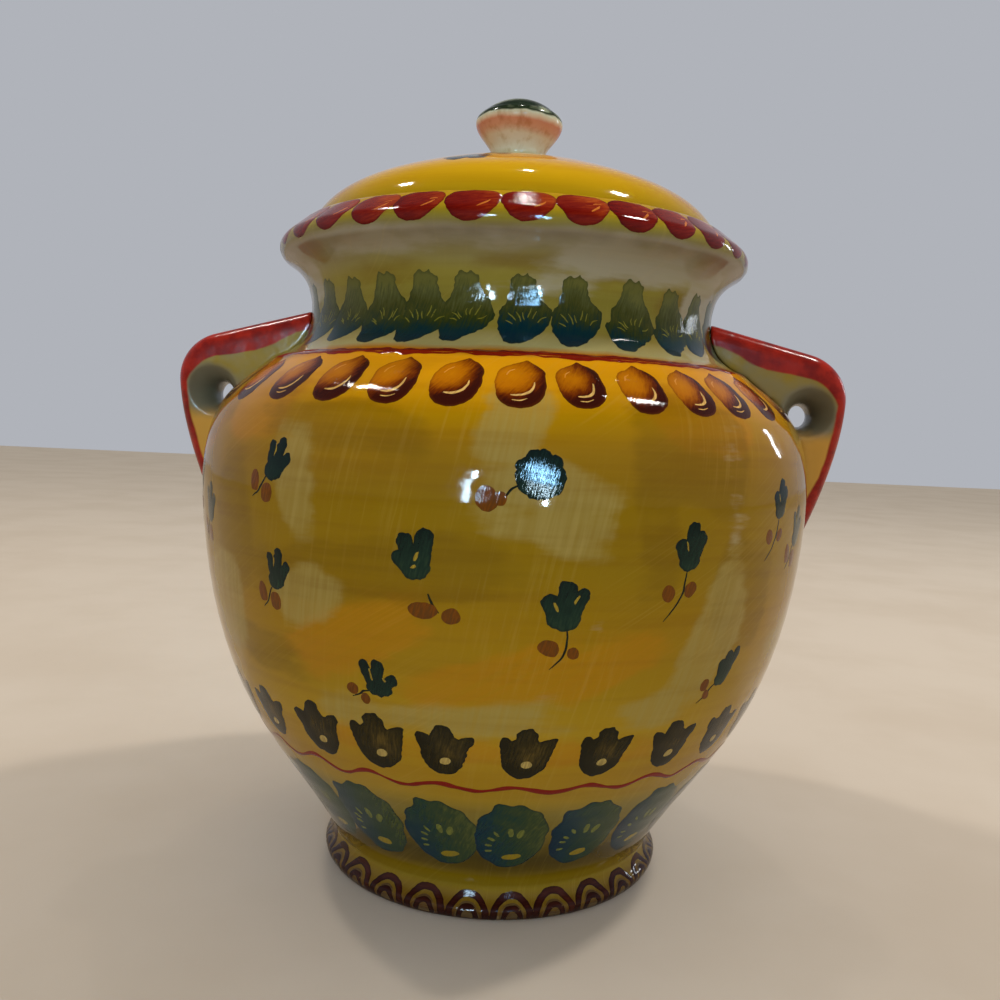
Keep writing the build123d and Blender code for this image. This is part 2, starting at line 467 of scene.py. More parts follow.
groundStrokes = {
    "ochre": [  # turn, height, half width, half height, tilt, strength
        (-16, 110, 44, 9, 4, 0.9),
        (-24, 146, 26, 7, -6, 0.9),
        (32, 142, 20, 15, -8, 0.85),
        (26, 124, 8, 26, 4, 0.8),
        (-46, 118, 12, 20, 3, 0.8),
        (-40, 82, 18, 8, -8, 0.7),
        (46, 104, 14, 16, 5, 0.7),
        (-30, 189, 13, 3.6, 0, 1.0),
        (2, 191, 16, 3.0, 0, 0.9),
        (28, 190.5, 11, 3.6, 0, 0.8),
        (50, 183, 8, 5, 0, 1.0),
        (90, 188, 22, 4, 0, 1.0),
        (140, 190, 30, 3, 0, 1.0),
        (200, 188, 26, 4, 0, 1.0),
        (265, 190, 24, 4, 0, 1.0),
    ],
    "cream": [
        (4, 148, 8, 13, -14, 1.0),
        (10, 128, 19, 12, -12, 0.9),
        (-30, 132, 7, 18, 10, 0.9),
        (40, 94, 9, 20, -22, 0.9),
        (-28, 102, 12, 8, 30, 0.9),
        (-52, 92, 12, 16, -10, 0.9),
        (-8, 71, 30, 5, 0, 0.9),
        (30, 74, 14, 6, 5, 0.8),
    ],
    "orange": [
        (-20, 92, 22, 8, 22, 1.0),
        (0, 82, 26, 6, 14, 0.9),
        (36, 152, 18, 8, -3, 1.0),
        (-42, 150, 16, 9, 5, 0.9),
        (22, 88, 16, 8, 22, 0.8),
        (2, 62, 60, 5, 0, 0.7),
    ],
    "chalk": [
        (-22, 196, 28, 2.6, 0, 1.0),
        (36, 194, 24, 4.4, 0, 1.0),
        (8, 186, 12, 2.6, 0, 0.8),
        (62, 187, 10, 8, 0, 1.0),
        (-62, 189, 9, 8, 0, 0.9),
    ],
    "seed": 11,
    # the rest of the pot: how many of each, and the range that each stroke's values come from
    "around": {"ochre": 15, "cream": 15, "orange": 16, "chalk": 12},
    "turns": (66, 294),
    "heights": (58, 156),
    "neckHeights": (184, 197),  # chalk goes round the neck, in flat strokes
    "neckFlatness": 0.35,
    "halfWidths": (12, 30),
    "halfHeights": (7, 20),
    "tilts": (-26, 26),
    "strengths": (0.75, 1.0),
    "reach": 4.0,
}


def strokesRound(kind, draw):
    f = groundStrokes
    strokes = list(f[kind])
    heights, flat = (f["neckHeights"], f["neckFlatness"]) if kind == "chalk" else (f["heights"], 1.0)
    for i in range(f["around"][kind]):
        turn, height = draw.uniform(*f["turns"]), draw.uniform(*heights)
        halfWidth, halfHeight = draw.uniform(*f["halfWidths"]), draw.uniform(*f["halfHeights"]) * flat
        tilt, strength = draw.uniform(*f["tilts"]) * flat, draw.uniform(*f["strengths"])
        strokes.append((turn, height, halfWidth, halfHeight, tilt, strength))
    return strokes


def brushGround(obj, strokesOf):
    for wash in ("ochre", "cream", "orange", "chalk"):
        setField(obj.data, wash, strokeField(obj.data, strokesOf(wash), groundStrokes["reach"]))


def rgb(r, g, b):
    def channel(v):
        v /= 255
        return v / 12.92 if v <= 0.04045 else ((v + 0.055) / 1.055) ** 2.4

    return (channel(r), channel(g), channel(b), 1.0)


def newMaterial(name, settings=None):
    material = bpy.data.materials.new(name)
    material.use_nodes = True
    tree = material.node_tree
    shader = tree.nodes["Principled BSDF"]
    for key, value in (settings or groundFinish["glass"]).items():
        shader.inputs[key].default_value = value
    return material, tree, shader


def objectSpot(tree):
    return put(tree, "ShaderNodeTexCoord").outputs["Object"]


def attribute(tree, name, output="Fac"):
    return put(tree, "ShaderNodeAttribute", attribute_name=name).outputs[output]


def grain(vector, scale, detail=3.0, roughness=0.55, stretch=(1, 1, 1)):
    spread = vectorCalc("MULTIPLY", vector, stretch)
    inputs = {"Vector": spread, "Scale": scale, "Detail": detail, "Roughness": roughness}
    return put(vector.id_data, "ShaderNodeTexNoise", inputs).outputs[0]


def remap(value, low, high, toLow=0.0, toHigh=1.0, kind="SMOOTHSTEP"):
    inputs = {"Value": value, "From Min": low, "From Max": high, "To Min": toLow, "To Max": toHigh}
    return out(put(value.id_data, "ShaderNodeMapRange", inputs, interpolation_type=kind))


def blend(amount, first, second, mode="MIX"):
    values = (amount, first, second)
    node = put(treeOf(*values), "ShaderNodeMix", data_type="RGBA", blend_type=mode)
    for socket, value in zip([s for s in node.inputs if s.enabled], values):
        feed(socket, value)
    return out(node)


def colourRamp(value, stops):
    node = put(value.id_data, "ShaderNodeValToRGB", {0: value})
    ramp = node.color_ramp
    while len(ramp.elements) < len(stops):
        ramp.elements.new(0.5)
    for element, (place, colour) in zip(ramp.elements, stops):
        element.position = place
        element.color = rgb(*colour)
    return node.outputs["Color"]


def zoneColour(height, zones):
    low, high = zones[0][0], zones[-1][0]
    place = remap(height, low * mm, high * mm, kind="LINEAR")
    return colourRamp(place, [((h - low) / (high - low), colour) for h, colour in zones])


def finishGlaze(shader, colour, roughness, relief, strength, distance):
    inputs = {"Height": relief, "Strength": strength, "Distance": distance}
    bump = out(put(relief.id_data, "ShaderNodeBump", inputs))
    for name, value in (("Base Color", colour), ("Roughness", roughness), ("Normal", bump)):
        feed(shader.inputs[name], value)


groundFinish = {
    "zones": [  # height up the pot and the colour of the glaze there, with painted shade at the waist and under the rim
        (0.0, (50, 22, 8)),
        (2.2, (74, 44, 12)),
        (4.0, (92, 64, 14)),
        (9.0, (118, 92, 20)),
        # 17 to 28 mm: held darker as painted shade where the belly curves under towards the foot
        (13.0, (116, 88, 6)),
        (17.0, (80, 58, 1)),
        (22.0, (64, 48, 4)),
        (28.0, (92, 70, 14)),
        (40.0, (118, 95, 34)),
        (46.0, (142, 106, 20)),
        (53.0, (142, 101, 10)),
        (66.0, (148, 110, 14)),
        (80.0, (137, 100, 5)),
        (96.0, (132, 93, 1)),
        (112.0, (122, 89, 1)),
        (128.0, (120, 87, 1)),
        (140.0, (126, 88, 1)),
        (150.0, (146, 102, 1)),
        (158.0, (180, 120, 3)),
        (164.5, (194, 126, 4)),
        (166.6, (150, 92, 8)),
        (168.0, (142, 128, 80)),
        (171.0, (130, 112, 62)),
        # 173.5 to 189 mm: the olive neck ground held darker as painted shade under the rim
        (173.5, (116, 98, 34)),
        (182.0, (112, 96, 26)),
        (189.0, (126, 108, 38)),
        (195.0, (126, 110, 68)),
        (198.6, (130, 116, 92)),
        (200.2, (116, 100, 50)),
        (201.6, (122, 104, 26)),
        (204.0, (140, 112, 14)),
        (210.0, (166, 124, 6)),
    ],
    "washes": [  # strokes laid over it, the way the brush went, how much they cover
        ("orange", "leaning", 0.6),
        ("ochre", "level", 0.5),
        ("cream", "upright", 0.72),
        ("chalk", "level", 0.85),
    ],
    "ochre": (98, 68, 0),
    "cream": (138, 114, 56),
    "orange": (152, 94, 0),
    "chalk": (148, 134, 108),
    "deep": (240, 232, 214),  # multiplied in along the level strands
    "scratch": (184, 150, 76),
    "inside": (196, 176, 124),
    "clay": (160, 116, 84),
    "drift": 0.005,  # how far the zones swing up and down, in metres
    "ragged": (1.3, 3.4),  # how far the edges of the washes break up, in small and in large
    "scratchRadius": 0.095,
    "gloss": (0.045, 0.095),
    "bareClay": 0.7,  # how much rougher the bare clay is
    "relief": (0.35, 0.0011),
    "glass": {"IOR": 1.5, "Specular IOR Level": 0.17},
}


# Brush scratches that lean round the pot: noise on a twisted cylinder, so it has no seam
def scratches(spot, lean, fineness, length):
    x, y, z = split(spot)
    turn = add(calc("ARCTAN2", y, x), times(z, lean))
    twisted = roundAxis(groundFinish["scratchRadius"], turn, times(z, length))
    return grain(twisted, fineness, 2.5, 0.6)


def groundGlaze(name, zones, scratched):
    f = groundFinish
    material, tree, shader = newMaterial(name)
    spot = objectSpot(tree)
    # the height zones carry the painted shade written into their colours
    base = zoneColour(add(split(spot)[2], centred(grain(spot, 22), f["drift"])), zones)
    strands = {
        "upright": scratches(spot, -2.0, 780, 0.05),
        "leaning": scratches(spot, -17.0, 700, 0.04),
        "level": grain(spot, 260, 3, 0.6, (0.05, 0.05, 1)),
    }
    bristle = grain(spot, 60, 4, 0.6, (1, 1, 5))
    ragged = add(centred(bristle, f["ragged"][0]), centred(grain(spot, 34), f["ragged"][1]))
    for wash, brush, amount in f["washes"]:
        mask = times(remap(add(attribute(tree, wash), ragged), -0.4, 0.45), amount)
        mask = times(mask, remap(strands[brush], 0.35, 0.62, 0.72, 1.0))
        base = blend(mask, base, rgb(*f[wash]))
    pale = blend(0.55, base, rgb(*f["scratch"]))
    deep = blend(1.0, base, rgb(*f["deep"]), "MULTIPLY")
    base = blend(remap(strands["level"], 0.45, 0.75, 0, 0.7), base, deep)
    patch = grain(spot, 15, 2)
    for brush, low, high in (("upright", 0.46, 0.6), ("leaning", 0.54, 0.4)):
        lines = times(remap(strands[brush], 0.5, 0.72, 0.0, scratched), remap(patch, low, high))
        base = blend(lines, base, pale)
    side = attribute(tree, "side")  # 0 outside, 1 under the foot, 2 inside
    inside = remap(side, 1.4, 1.6)
    base = blend(inside, base, rgb(*f["inside"]))
    bare = times(remap(side, 0.4, 0.6), less(1.0, inside))
    base = blend(bare, base, rgb(*f["clay"]))
    fine = grain(spot, 520, 2, 0.5)
    gloss = add(remap(fine, 0.3, 0.8, *f["gloss"]), times(bare, f["bareClay"]))
    relief = add(grain(spot, 38, 2), times(fine, 0.03))
    finishGlaze(shader, base, gloss, relief, *f["relief"])
    return material


throwing = throwingTree()


def throwPiece(name, line, sides, glaze, segments):
    obj = meridianObject(name, line, sides)
    runTree(obj, throwing, {"Segments": segments, "Glaze": glaze})
    return obj


def dress(obj, body, slot, *nodes):
    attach(obj, body)
    if nodes:
        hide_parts(*nodes)


# The jar
jarGlaze = groundGlaze("jarGlaze", groundFinish["zones"], jarForm["scratched"])
jar = throwPiece("thrownJar", *jarMeridian(), jarGlaze, jarForm["segments"])
draw = random.Random(groundStrokes["seed"])
brushGround(jar, lambda wash: strokesRound(wash, draw))
dress(jar, "jar", "jar_glaze", "jar_body")
print("jar thrown:", len(jar.data.polygons), "faces")


lidForm = {
    "edge": 68.0,
    "ledge": 204.0,
    "edgeTop": (68.0, 208.8),
    "flank": (46.0, 225.7),
    "crown": (0.0, 234.6),
    "skirt": (61.0, 56.0),
    "skirtFoot": 196.0,
    "wall": 5.0,
    "domeCurve": (112, 180, (1.14, 1.17)),
    "skin": 0.1,
    "innerReach": 54,
    "scratched": 0.0,
    "segments": 256,
    # the dome's colour runs darker towards its edge by the rim as painted shade
    "zones": [
        (196.0, (140, 112, 50)),
        (206.0, (120, 84, 4)),
        (210.0, (146, 112, 8)),
        (214.0, (166, 124, 4)),
        (220.0, (190, 140, 2)),
        (228.0, (200, 136, 1)),
        (236.0, (184, 114, 1)),
    ],
    "strokes": {  # turn, height, half width, half height, tilt, strength
        "orange": [(-70, 218, 26, 7, 0, 0.6), (64, 218, 28, 7, 0, 0.6), (170, 222, 34, 6, 0, 0.6)],
    },
}


def domeLine(spacing):
    f = lidForm
    return smoothLine([f["edgeTop"], f["flank"], f["crown"]], *f["domeCurve"], spacing)


def lidMeridian():
    f = lidForm
    dome = np.array(domeLine(1.0))
    dome = dome - sideways(dome) * f["skin"]
    dome[-1][0] = 0
    inside = innerWall(domeLine(4.0), f["wall"], lambda q: 0.5 < q[0] < f["innerReach"])
    (outer, bore), foot, ledge, edge = f["skirt"], f["skirtFoot"], f["ledge"], f["edge"]
    line = straightLine([(0, f["crown"][1] - f["wall"]), inside[0]], 4)[:-1] + inside
    line += straightLine([(bore - 0.3, ledge + 2.5), (bore, ledge), (bore, foot + 1.5)], 1.6)
    line += [np.array([bore + 0.5, foot + 0.4])]
    line += straightLine([(bore + 1.4, foot), (outer - 1.4, foot)], 1.2)
    line += [np.array([outer - 0.5, foot + 0.4])]
    line += straightLine([(outer, foot + 1.5), (outer, ledge - 0.3)], 1.6)
    line += straightLine([(outer + 0.3, ledge), (edge - 0.6, ledge)], 1.6)
    line += [np.array([edge - 0.15, ledge + 0.2])]
    line += straightLine([(edge - 0.1, ledge + 0.7), (edge - 0.1, f["edgeTop"][1] - 0.8)], 1.2)
    return np.array(line + list(dome)), [2.0] * len(line) + [0.0] * len(dome), dome


lidGlaze = groundGlaze("lidGlaze", lidForm["zones"], lidForm["scratched"])
lidLine, lidSides, lidDome = lidMeridian()
lid = throwPiece("thrownLid", lidLine, lidSides, lidGlaze, lidForm["segments"])
brushGround(lid, lambda wash: lidForm["strokes"].get(wash, []))
dress(lid, "lid", "lid_glaze", "lid")
print("lid thrown:", len(lid.data.polygons), "faces")


knobForm = {
    "root": (11.4, 231.6),
    "stem": (8.9, 237.6),
    "widest": (14.6, 247.5),
    "brow": (12.4, 251.4),
    "top": (0.0, 256.2),
    "stemCurve": (125, 150, (1.2, 1.6)),
    "skin": 0.06,
    "segments": 128,
    "zones": [
        (231.0, (120, 112, 14)),
        (235.0, (142, 132, 44)),
        (238.5, (194, 188, 158)),
        (242.5, (190, 176, 144)),
        (244.6, (184, 134, 98)),
        (246.6, (178, 114, 80)),
        (247.6, (186, 158, 124)),
        (248.8, (176, 172, 142)),
        (249.3, (30, 40, 20)),
        (252.6, (20, 32, 16)),
        (254.6, (60, 66, 26)),
        (256.2, (120, 122, 60)),
    ],
    "deep": (206, 176, 130),
    "worn": (150, 152, 122),
    "wornFrom": (249.4, 250.0),
    "drift": 0.0035,
    "gloss": (0.1, 0.2),
    "relief": (0.3, 0.0006),
}


def knobMeridian():
    f = knobForm
    stem = smoothLine([f["root"], f["stem"], f["widest"], f["brow"]], *f["stemCurve"], 0.5)
    cap = arcLine(f["top"], f["brow"], 0, 0.5)[::-1]
    line = np.array(stem + cap[1:])
    line = line - sideways(line) * f["skin"]
    line[-1][0] = 0
    start = straightLine([(0, f["root"][1]), (f["root"][0] - 0.4, f["root"][1])], 2.5)
    return np.array(start + list(line))


def knobGlaze():
    f = knobForm
    material, tree, shader = newMaterial("knobGlaze")
    spot = objectSpot(tree)
    drift = grain(spot, 70)
    height = add(split(spot)[2], centred(drift, f["drift"]))
    base = zoneColour(height, f["zones"])
    fine = grain(spot, 330, 3, 0.6, (1, 1, 0.5))
    deep = blend(1.0, base, rgb(*f["deep"]), "MULTIPLY")
    base = blend(remap(fine, 0.45, 0.75, 0, 0.6), base, deep)
    low, high = f["wornFrom"]
    worn = times(remap(drift, 0.5, 0.64), remap(height, low * mm, high * mm, 0.0, 0.75))
    base = blend(worn, base, rgb(*f["worn"]))
    relief = add(drift, times(fine, 0.1))
    finishGlaze(shader, base, remap(fine, 0.3, 0.8, *f["gloss"]), relief, *f["relief"])
    return material


knob = throwPiece("lidKnob", knobMeridian(), None, knobGlaze(), knobForm["segments"])
dress(knob, "lid", "knob_glaze", "lid_knob")
print("knob thrown:", len(knob.data.polygons), "faces")


handleFinish = {
    "grain": 0.62,  # size of the remeshed facets
    "smoothing": 5,
    "top": (61.5, 183.8),
    "topAngle": -14.5,
    "corner": 16.0,
    "reach": 110.8,
    "tail": (95.0, 101.0),
    "hole": (98.2, 154.4),
    "dish": 16.0,
    # width of the red along the top, the outer edge, and how much wider it gets at the lower end
    "topBand": 10.0,
    "edgeBand": 3.8,
    "tailBand": 2.6,
    "bandFade": 4.0,
    # where each begins, and how far on it is full
    "topFrom": (158, 12),
    "tailFrom": (134, -20),
    "redFrom": (70, 14),
    "rootFade": 0.9,
    "lip": (150, 8),
    "red": (146, 30, 16),
    "darkRed": (98, 10, 8),
    "cream": (184, 132, 52),
    "olive": (134, 108, 34),
    "grey": (124, 108, 66),
    "hollow": (112, 102, 78),
    "gloss": (0.16, 0.24),
    "relief": (0.35, 0.0011),
}


def distanceToSpans(points, a, b):
    spans = b - a
    squares = np.maximum((spans**2).sum(1), 1e-9)
    best = np.full(len(points), 1e9)
    for start, span, square in zip(a, spans, squares):
        t = np.clip(((points - start) @ span) / square, 0, 1)
        best = np.minimum(best, np.linalg.norm(points - start - t[:, None] * span, axis=1))
    return best


def distanceToLine(points, line):
    line = np.array(line)
    return distanceToSpans(points, line[:-1], line[1:])


def risen(values, start, reach):  # 0 up to the start, 1 from the reach on
    return np.clip((values - start) / reach, 0, 1)


def handleSideLine():
    f = handleFinish
    slope = heading(f["topAngle"])
    top = np.array(f["top"])
    corner = top + slope * (f["reach"] - top[0]) / slope[0]
    back = f["corner"] / math.tan(math.radians((90 - f["topAngle"]) / 2))
    start = corner - slope * back
    reach = corner - np.array([0, back])
    return [top, *arcLine(start, reach, f["topAngle"], 2.0), *arcLine(reach, f["tail"], -90, 4.0)]


def modelHandle(name, node, side):
    f = handleFinish
    mesh = frame["nodes"][node].data.copy()
    shape = bmesh.new()
    shape.from_mesh(mesh)
    bmesh.ops.remove_doubles(shape, verts=shape.verts, dist=0.00001)
    shape.to_mesh(mesh)
    shape.free()
    mesh.materials.clear()
    obj = placed(name, mesh)
    remesh = obj.modifiers.new("facets", "REMESH")
    remesh.mode = "VOXEL"
    remesh.voxel_size = f["grain"] * mm
    soften = obj.modifiers.new("soften", "SMOOTH")
    soften.factor = 0.5
    soften.iterations = f["smoothing"]
    plainMesh(obj, False)
    co = coordinates(obj.data) / mm
    x, z = co[:, 0] * side, co[:, 2]
    flat = np.stack([x, z], axis=1)
    band = f["edgeBand"] + (f["topBand"] - f["edgeBand"]) * risen(z, *f["topFrom"])
    band = band + f["tailBand"] * risen(z, *f["tailFrom"])
    red = (band - distanceToLine(flat, handleSideLine())) / f["bandFade"]
    setField(obj.data, "red", red - (1 - risen(x, *f["redFrom"])) * f["rootFade"])
    setField(obj.data, "dish", 1 - np.linalg.norm(flat - f["hole"], axis=1) / f["dish"])
    setField(obj.data, "lip", np.clip((f["lip"][0] - z) / f["lip"][1], -1, 1))
    return obj


def handleGlaze():
    f = handleFinish
    material, tree, shader = newMaterial("handleGlaze")
    spot = objectSpot(tree)
    drift = grain(spot, 70, 3, 0.6)
    streak = grain(spot, 170, 3, 0.6, (1, 0.3, 1))
    ragged = centred(drift, 0.9)
    red = blend(remap(streak, 0.35, 0.7, 0, 0.8), rgb(*f["red"]), rgb(*f["darkRed"]))
    base = blend(remap(drift, 0.35, 0.65), rgb(*f["olive"]), rgb(*f["grey"]))
    for field, wander, low, high, colour in (
        ("dish", 0.2, 0.3, 0.5, rgb(*f["hollow"])),
        ("lip", 1.0, -0.1, 0.7, rgb(*f["cream"])),
        ("red", 0.6, -0.12, 0.12, red),
    ):
        mask = remap(add(attribute(tree, field), times(ragged, wander)), low, high)
        base = blend(mask, base, colour)
    relief = add(drift, times(streak, 0.1))
    finishGlaze(shader, base, remap(streak, 0.3, 0.8, *f["gloss"]), relief, *f["relief"])
    return material


handlePaint = handleGlaze()
for name, node, side in (("rightHandle", "right_handle", 1), ("leftHandle", "left_handle", -1)):
    handle = modelHandle(name, node, side)
    handle.data.materials.append(handlePaint)
    handle.data.shade_smooth()
    dress(handle, "jar", "handle_glaze", node)
    print(name, "modelled:", len(handle.data.polygons), "faces")


# Painted marks. Each is a thin closed skin of colour, drawn flat in millimetres and then
# wrapped on the pot by its length up the meridian (y) and its way round (x).
def roundedOutline(points, step):
    p = np.array(points, float)
    count = len(p)
    line = []
    for i in range(count):
        a, b, c, d = p[i - 1], p[i], p[(i + 1) % count], p[(i + 2) % count]
        steps = max(1, round(np.linalg.norm(c - b) / step))
        for u in np.arange(steps) / steps:
            line.append(
                0.5
                * (
                    2 * b
                    + (c - a) * u
                    + (2 * a - 5 * b + 4 * c - d) * u**2
                    + (3 * b - 3 * c + d - a) * u**3
                )
            )
    return np.array(line)


def brushLine(points, width, tip=0.35, start=0.6):
    p = np.array(points, float)
    along = np.gradient(p, axis=0)
    along /= np.linalg.norm(along, axis=1)[:, None]
    side = np.stack([-along[:, 1], along[:, 0]], axis=1)
    u = np.linspace(0, 1, len(p))
    swell = start + (1 - start) * np.sin(u * math.pi) ** 0.7
    swell = np.minimum(swell, tip + (1 - tip) * (1 - u) * 3) * width / 2
    return np.concatenate([p + side * swell[:, None], (p - side * swell[:, None])[::-1]])


def petal(base, tip, baseWidth, tipWidth, bend=0.0):
    a, b = np.array(base, float), np.array(tip, float)
    along = (b - a) / np.linalg.norm(b - a)
    side = np.array([-along[1], along[0]])
    middle = (a + b) / 2 + side * bend
    length = np.linalg.norm(b - a)
    return [
        a - along * 0.3,
        a - side * baseWidth / 2,
        middle - side * (baseWidth + tipWidth) / 4 * 1.1,
        b - side * tipWidth / 2 - along * length * 0.12,
        b - side * tipWidth * 0.18,
        b + side * tipWidth * 0.26,
        b + side * tipWidth / 2 - along * length * 0.16,
        middle + side * (baseWidth + tipWidth) / 4 * 1.1,
        a + side * baseWidth / 2,
    ]


def blob(centre, width, height, tilt=0.0, lumps=7, ragged=0.06, seed=0):
    draw = random.Random(seed)
    c, s = math.cos(math.radians(tilt)), math.sin(math.radians(tilt))
    points = []
    for i in range(lumps):
        angle = 2 * math.pi * i / lumps
        grow = 1 + draw.uniform(-ragged, ragged)
        x, y = math.cos(angle) * width / 2 * grow, math.sin(angle) * height / 2 * grow
        points.append((centre[0] + x * c - y * s, centre[1] + x * s + y * c))
    return points


paintSkin = {
    "layers": {  # height of the colour over the glaze, at its thin edge and full
        -1: (0.008, 0.012),
        0: (0.026, 0.08),
        1: (0.092, 0.115),
    },
    "edge": 0.9,  # how far in from its edge the colour is full
    "sunk": 0.22,  # how deep its underside lies in the glaze
    "spacing": 1.25,
    "step": 0.5,
    "gloss": (0.035, 0.09),
    "relief": (0.35, 0.0012),
    "wobbleSeed": 31,
}
noise.seed_set(paintSkin["wobbleSeed"])  # without it the outlines' wobble comes from the clock


def insideAny(points, outlines):
    found = np.zeros(len(points), bool)
    for line in outlines:
        crossed = np.zeros(len(points), bool)
        for a, b in zip(line, np.roll(line, -1, axis=0)):
            if a[1] != b[1]:
                across = a[0] + (points[:, 1] - a[1]) * (b[0] - a[0]) / (b[1] - a[1])
                crossed ^= ((a[1] > points[:, 1]) != (b[1] > points[:, 1])) & (points[:, 0] < across)
        found |= crossed
    return found


def skinOf(outlines, layer=0, mark=0.0, rough=0.12, seed=0.0, gap=None):
    f = paintSkin
    points, faces, corners = [], [], []
    for outline in outlines:
        line = roundedOutline(outline, f["step"])
        for q in line:
            push = noise.noise_vector(Vector((q[0] * 0.8, q[1] * 0.8, seed + 0.5)))
            q[0] += push.x * rough
            q[1] += push.y * rough
        faces.append(list(range(len(points), len(points) + len(line))))
        points += [Vector(q) for q in line]
        corners.append(line)
    every = np.concatenate(corners)
    low, high = every.min(0), every.max(0)
    gap = gap or f["spacing"]
    x, y = np.meshgrid(np.arange(low[0], high[0], gap), np.arange(low[1], high[1], gap * 0.87))
    x[1::2] += gap / 2
    inner = np.stack([x.ravel(), y.ravel()], axis=1)
    near = [distanceToLine(inner, np.vstack([c, c[:1]])) for c in corners]
    inner = inner[(np.min(near, axis=0) > gap * 0.5) & insideAny(inner, corners)]
    points += [Vector(q) for q in inner]
    verts, edges, triangles = delaunay_2d_cdt(points, [], faces, 0, 0.02, False)[:3]
    flat = np.array([(v.x, v.y) for v in verts])
    middles = flat[np.array(triangles)].mean(axis=1)
    triangles = [t for t, kept in zip(triangles, insideAny(middles, corners)) if kept]
    uses = {}
    turnedFaces = []
    for t in triangles:
        a, b, c = (flat[i] for i in t)
        area = (b[0] - a[0]) * (c[1] - a[1]) - (b[1] - a[1]) * (c[0] - a[0])
        t = list(t) if area > 0 else list(t)[::-1]
        turnedFaces.append(t)
        for i, j in ((t[0], t[1]), (t[1], t[2]), (t[2], t[0])):
            uses[(i, j)] = True
    border = [(i, j) for i, j in uses if (j, i) not in uses]
    used = sorted({i for t in turnedFaces for i in t})
    number = {i: k for k, i in enumerate(used)}
    flat = flat[used]
    a = np.array([flat[number[i]] for i, j in border])
    b = np.array([flat[number[j]] for i, j in border])
    depth = distanceToSpans(flat, a, b)
    full = np.clip(depth / f["edge"], 0, 1)
    full = full * (2 - full)
    low, high = f["layers"][layer]
    top = np.c_[flat, low + (high - low) * full]
    bottom = np.c_[flat, np.full(len(flat), -f["sunk"])]
    count = len(flat)
    skin = [[number[i] for i in t] for t in turnedFaces]
    under = [[i + count for i in t[::-1]] for t in skin]
    sides = [[number[j], number[i], number[i] + count, number[j] + count] for i, j in border]
    place = np.c_[flat / 10, np.clip(depth / 2, 0, 1)]
    return (
        np.concatenate([top, bottom]),
        skin + under + sides,
        np.concatenate([place, place]),
        np.full(count * 2, mark),
    )


def markTemplate(name, group, skins):
    mesh = bpy.data.meshes.new(name)
    verts, faces, places, marks = [], [], [], []
    start = 0
    for v, f, place, mark in skins:
        verts.append(v * mm)
        faces += [[i + start for i in face] for face in f]
        places.append(place)
        marks.append(mark)
        start += len(v)
    mesh.from_pydata(np.concatenate(verts).tolist(), [], faces)
    field = mesh.attributes.new("place", "FLOAT_VECTOR", "POINT")
    field.data.foreach_set("vector", np.concatenate(places).astype(np.float32).ravel())
    setField(mesh, "mark", np.concatenate(marks))
    group.objects.link(bpy.data.objects.new(name, mesh))


# Lays flat marks on the pot: x is the way round at the row's radius, y the way up the meridian
def wrapped(geometry, meridian, rowRadius):
    tree = geometry.id_data
    spot = split(position(tree))
    line = out(put(tree, "GeometryNodeObjectInfo", {"Object": meridian}), "Geometry")
    inputs = {"Curves": out(put(tree, "GeometryNodeMeshToCurve", {"Mesh": line})), "Length": spot[1]}
    sample = put(tree, "GeometryNodeSampleCurve", inputs, mode="LENGTH", data_type="FLOAT")
    point = split(out(sample, "Position"))
    along = split(vectorCalc("NORMALIZE", out(sample, "Tangent")))
    radius = add(point[0], times(along[2], spot[2]))
    height = less(point[2], times(along[0], spot[2]))
    return moved(geometry, roundAxis(radius, over(spot[0], rowRadius), height))


def chance(low, high, seed, salt):
    inputs = {"Min": low, "Max": high, "Seed": add(seed, salt)}
    return out(put(seed.id_data, "FunctionNodeRandomValue", inputs, data_type="FLOAT"))


def paintingTree():
    tree, given = openTree(
        "painting",
        [
            ("Places", "Geometry"), ("Meridian", "Object"), ("Marks", "Collection"),
            ("Row Radius", "Float", 0.1), ("Wander", "Float", 0.0003),
            ("Lean Jitter", "Float", 0.06), ("Size Jitter", "Float", 0.05),
            ("Unsteady", "Float", 0.0003), ("Seed", "Int", 1), ("Paint", "Material"),
        ],
        "Band",
    )
    seed, wander, jitter = given["Seed"], given["Wander"], given["Size Jitter"]
    back = times(wander, -1.0)
    shift = combine(chance(back, wander, seed, 1), chance(back, wander, seed, 2), 0.0)
    stock = {"Collection": given["Marks"], "Separate Children": True}
    lean = chance(times(given["Lean Jitter"], -1.0), given["Lean Jitter"], seed, 3)
    grow = chance(less(1.0, jitter), add(1.0, jitter), seed, 4)
    grow = times(grow, namedField(tree, "grow"))
    dabs = put(
        tree,
        "GeometryNodeInstanceOnPoints",
        {
            "Points": moved(given["Places"], shift, "Offset"),
            "Instance": out(put(tree, "GeometryNodeCollectionInfo", stock)),
            "Pick Instance": True,
            "Instance Index": namedField(tree, "kind"),
            "Rotation": combine(0.0, 0.0, add(lean, namedField(tree, "lean"))),
            "Scale": combine(grow, grow, 1.0),
        },
    )
    marks = realized(stored(out(dabs), "tone", chance(0.0, 1.0, seed, 5), "INSTANCE"))
    spot = vectorCalc("MULTIPLY", position(tree), (1, 1, 0))
    spot = vectorCalc("ADD", spot, combine(0.0, 0.0, times(seed, 0.173)))
    shiver = put(tree, "ShaderNodeTexNoise", {"Vector": spot, "Scale": 240.0, "Detail": 1.0})
    shiver = vectorCalc("SUBTRACT", shiver.outputs["Color"], (0.5, 0.5, 0.5))
    amount = times(given["Unsteady"], 2.0)
    shiver = vectorCalc("MULTIPLY", shiver, combine(amount, amount, 0.0))
    laid = wrapped(moved(marks, shiver, "Offset"), given["Meridian"], given["Row Radius"])
    endTree(laid, given["Paint"], "Band")
    return tree


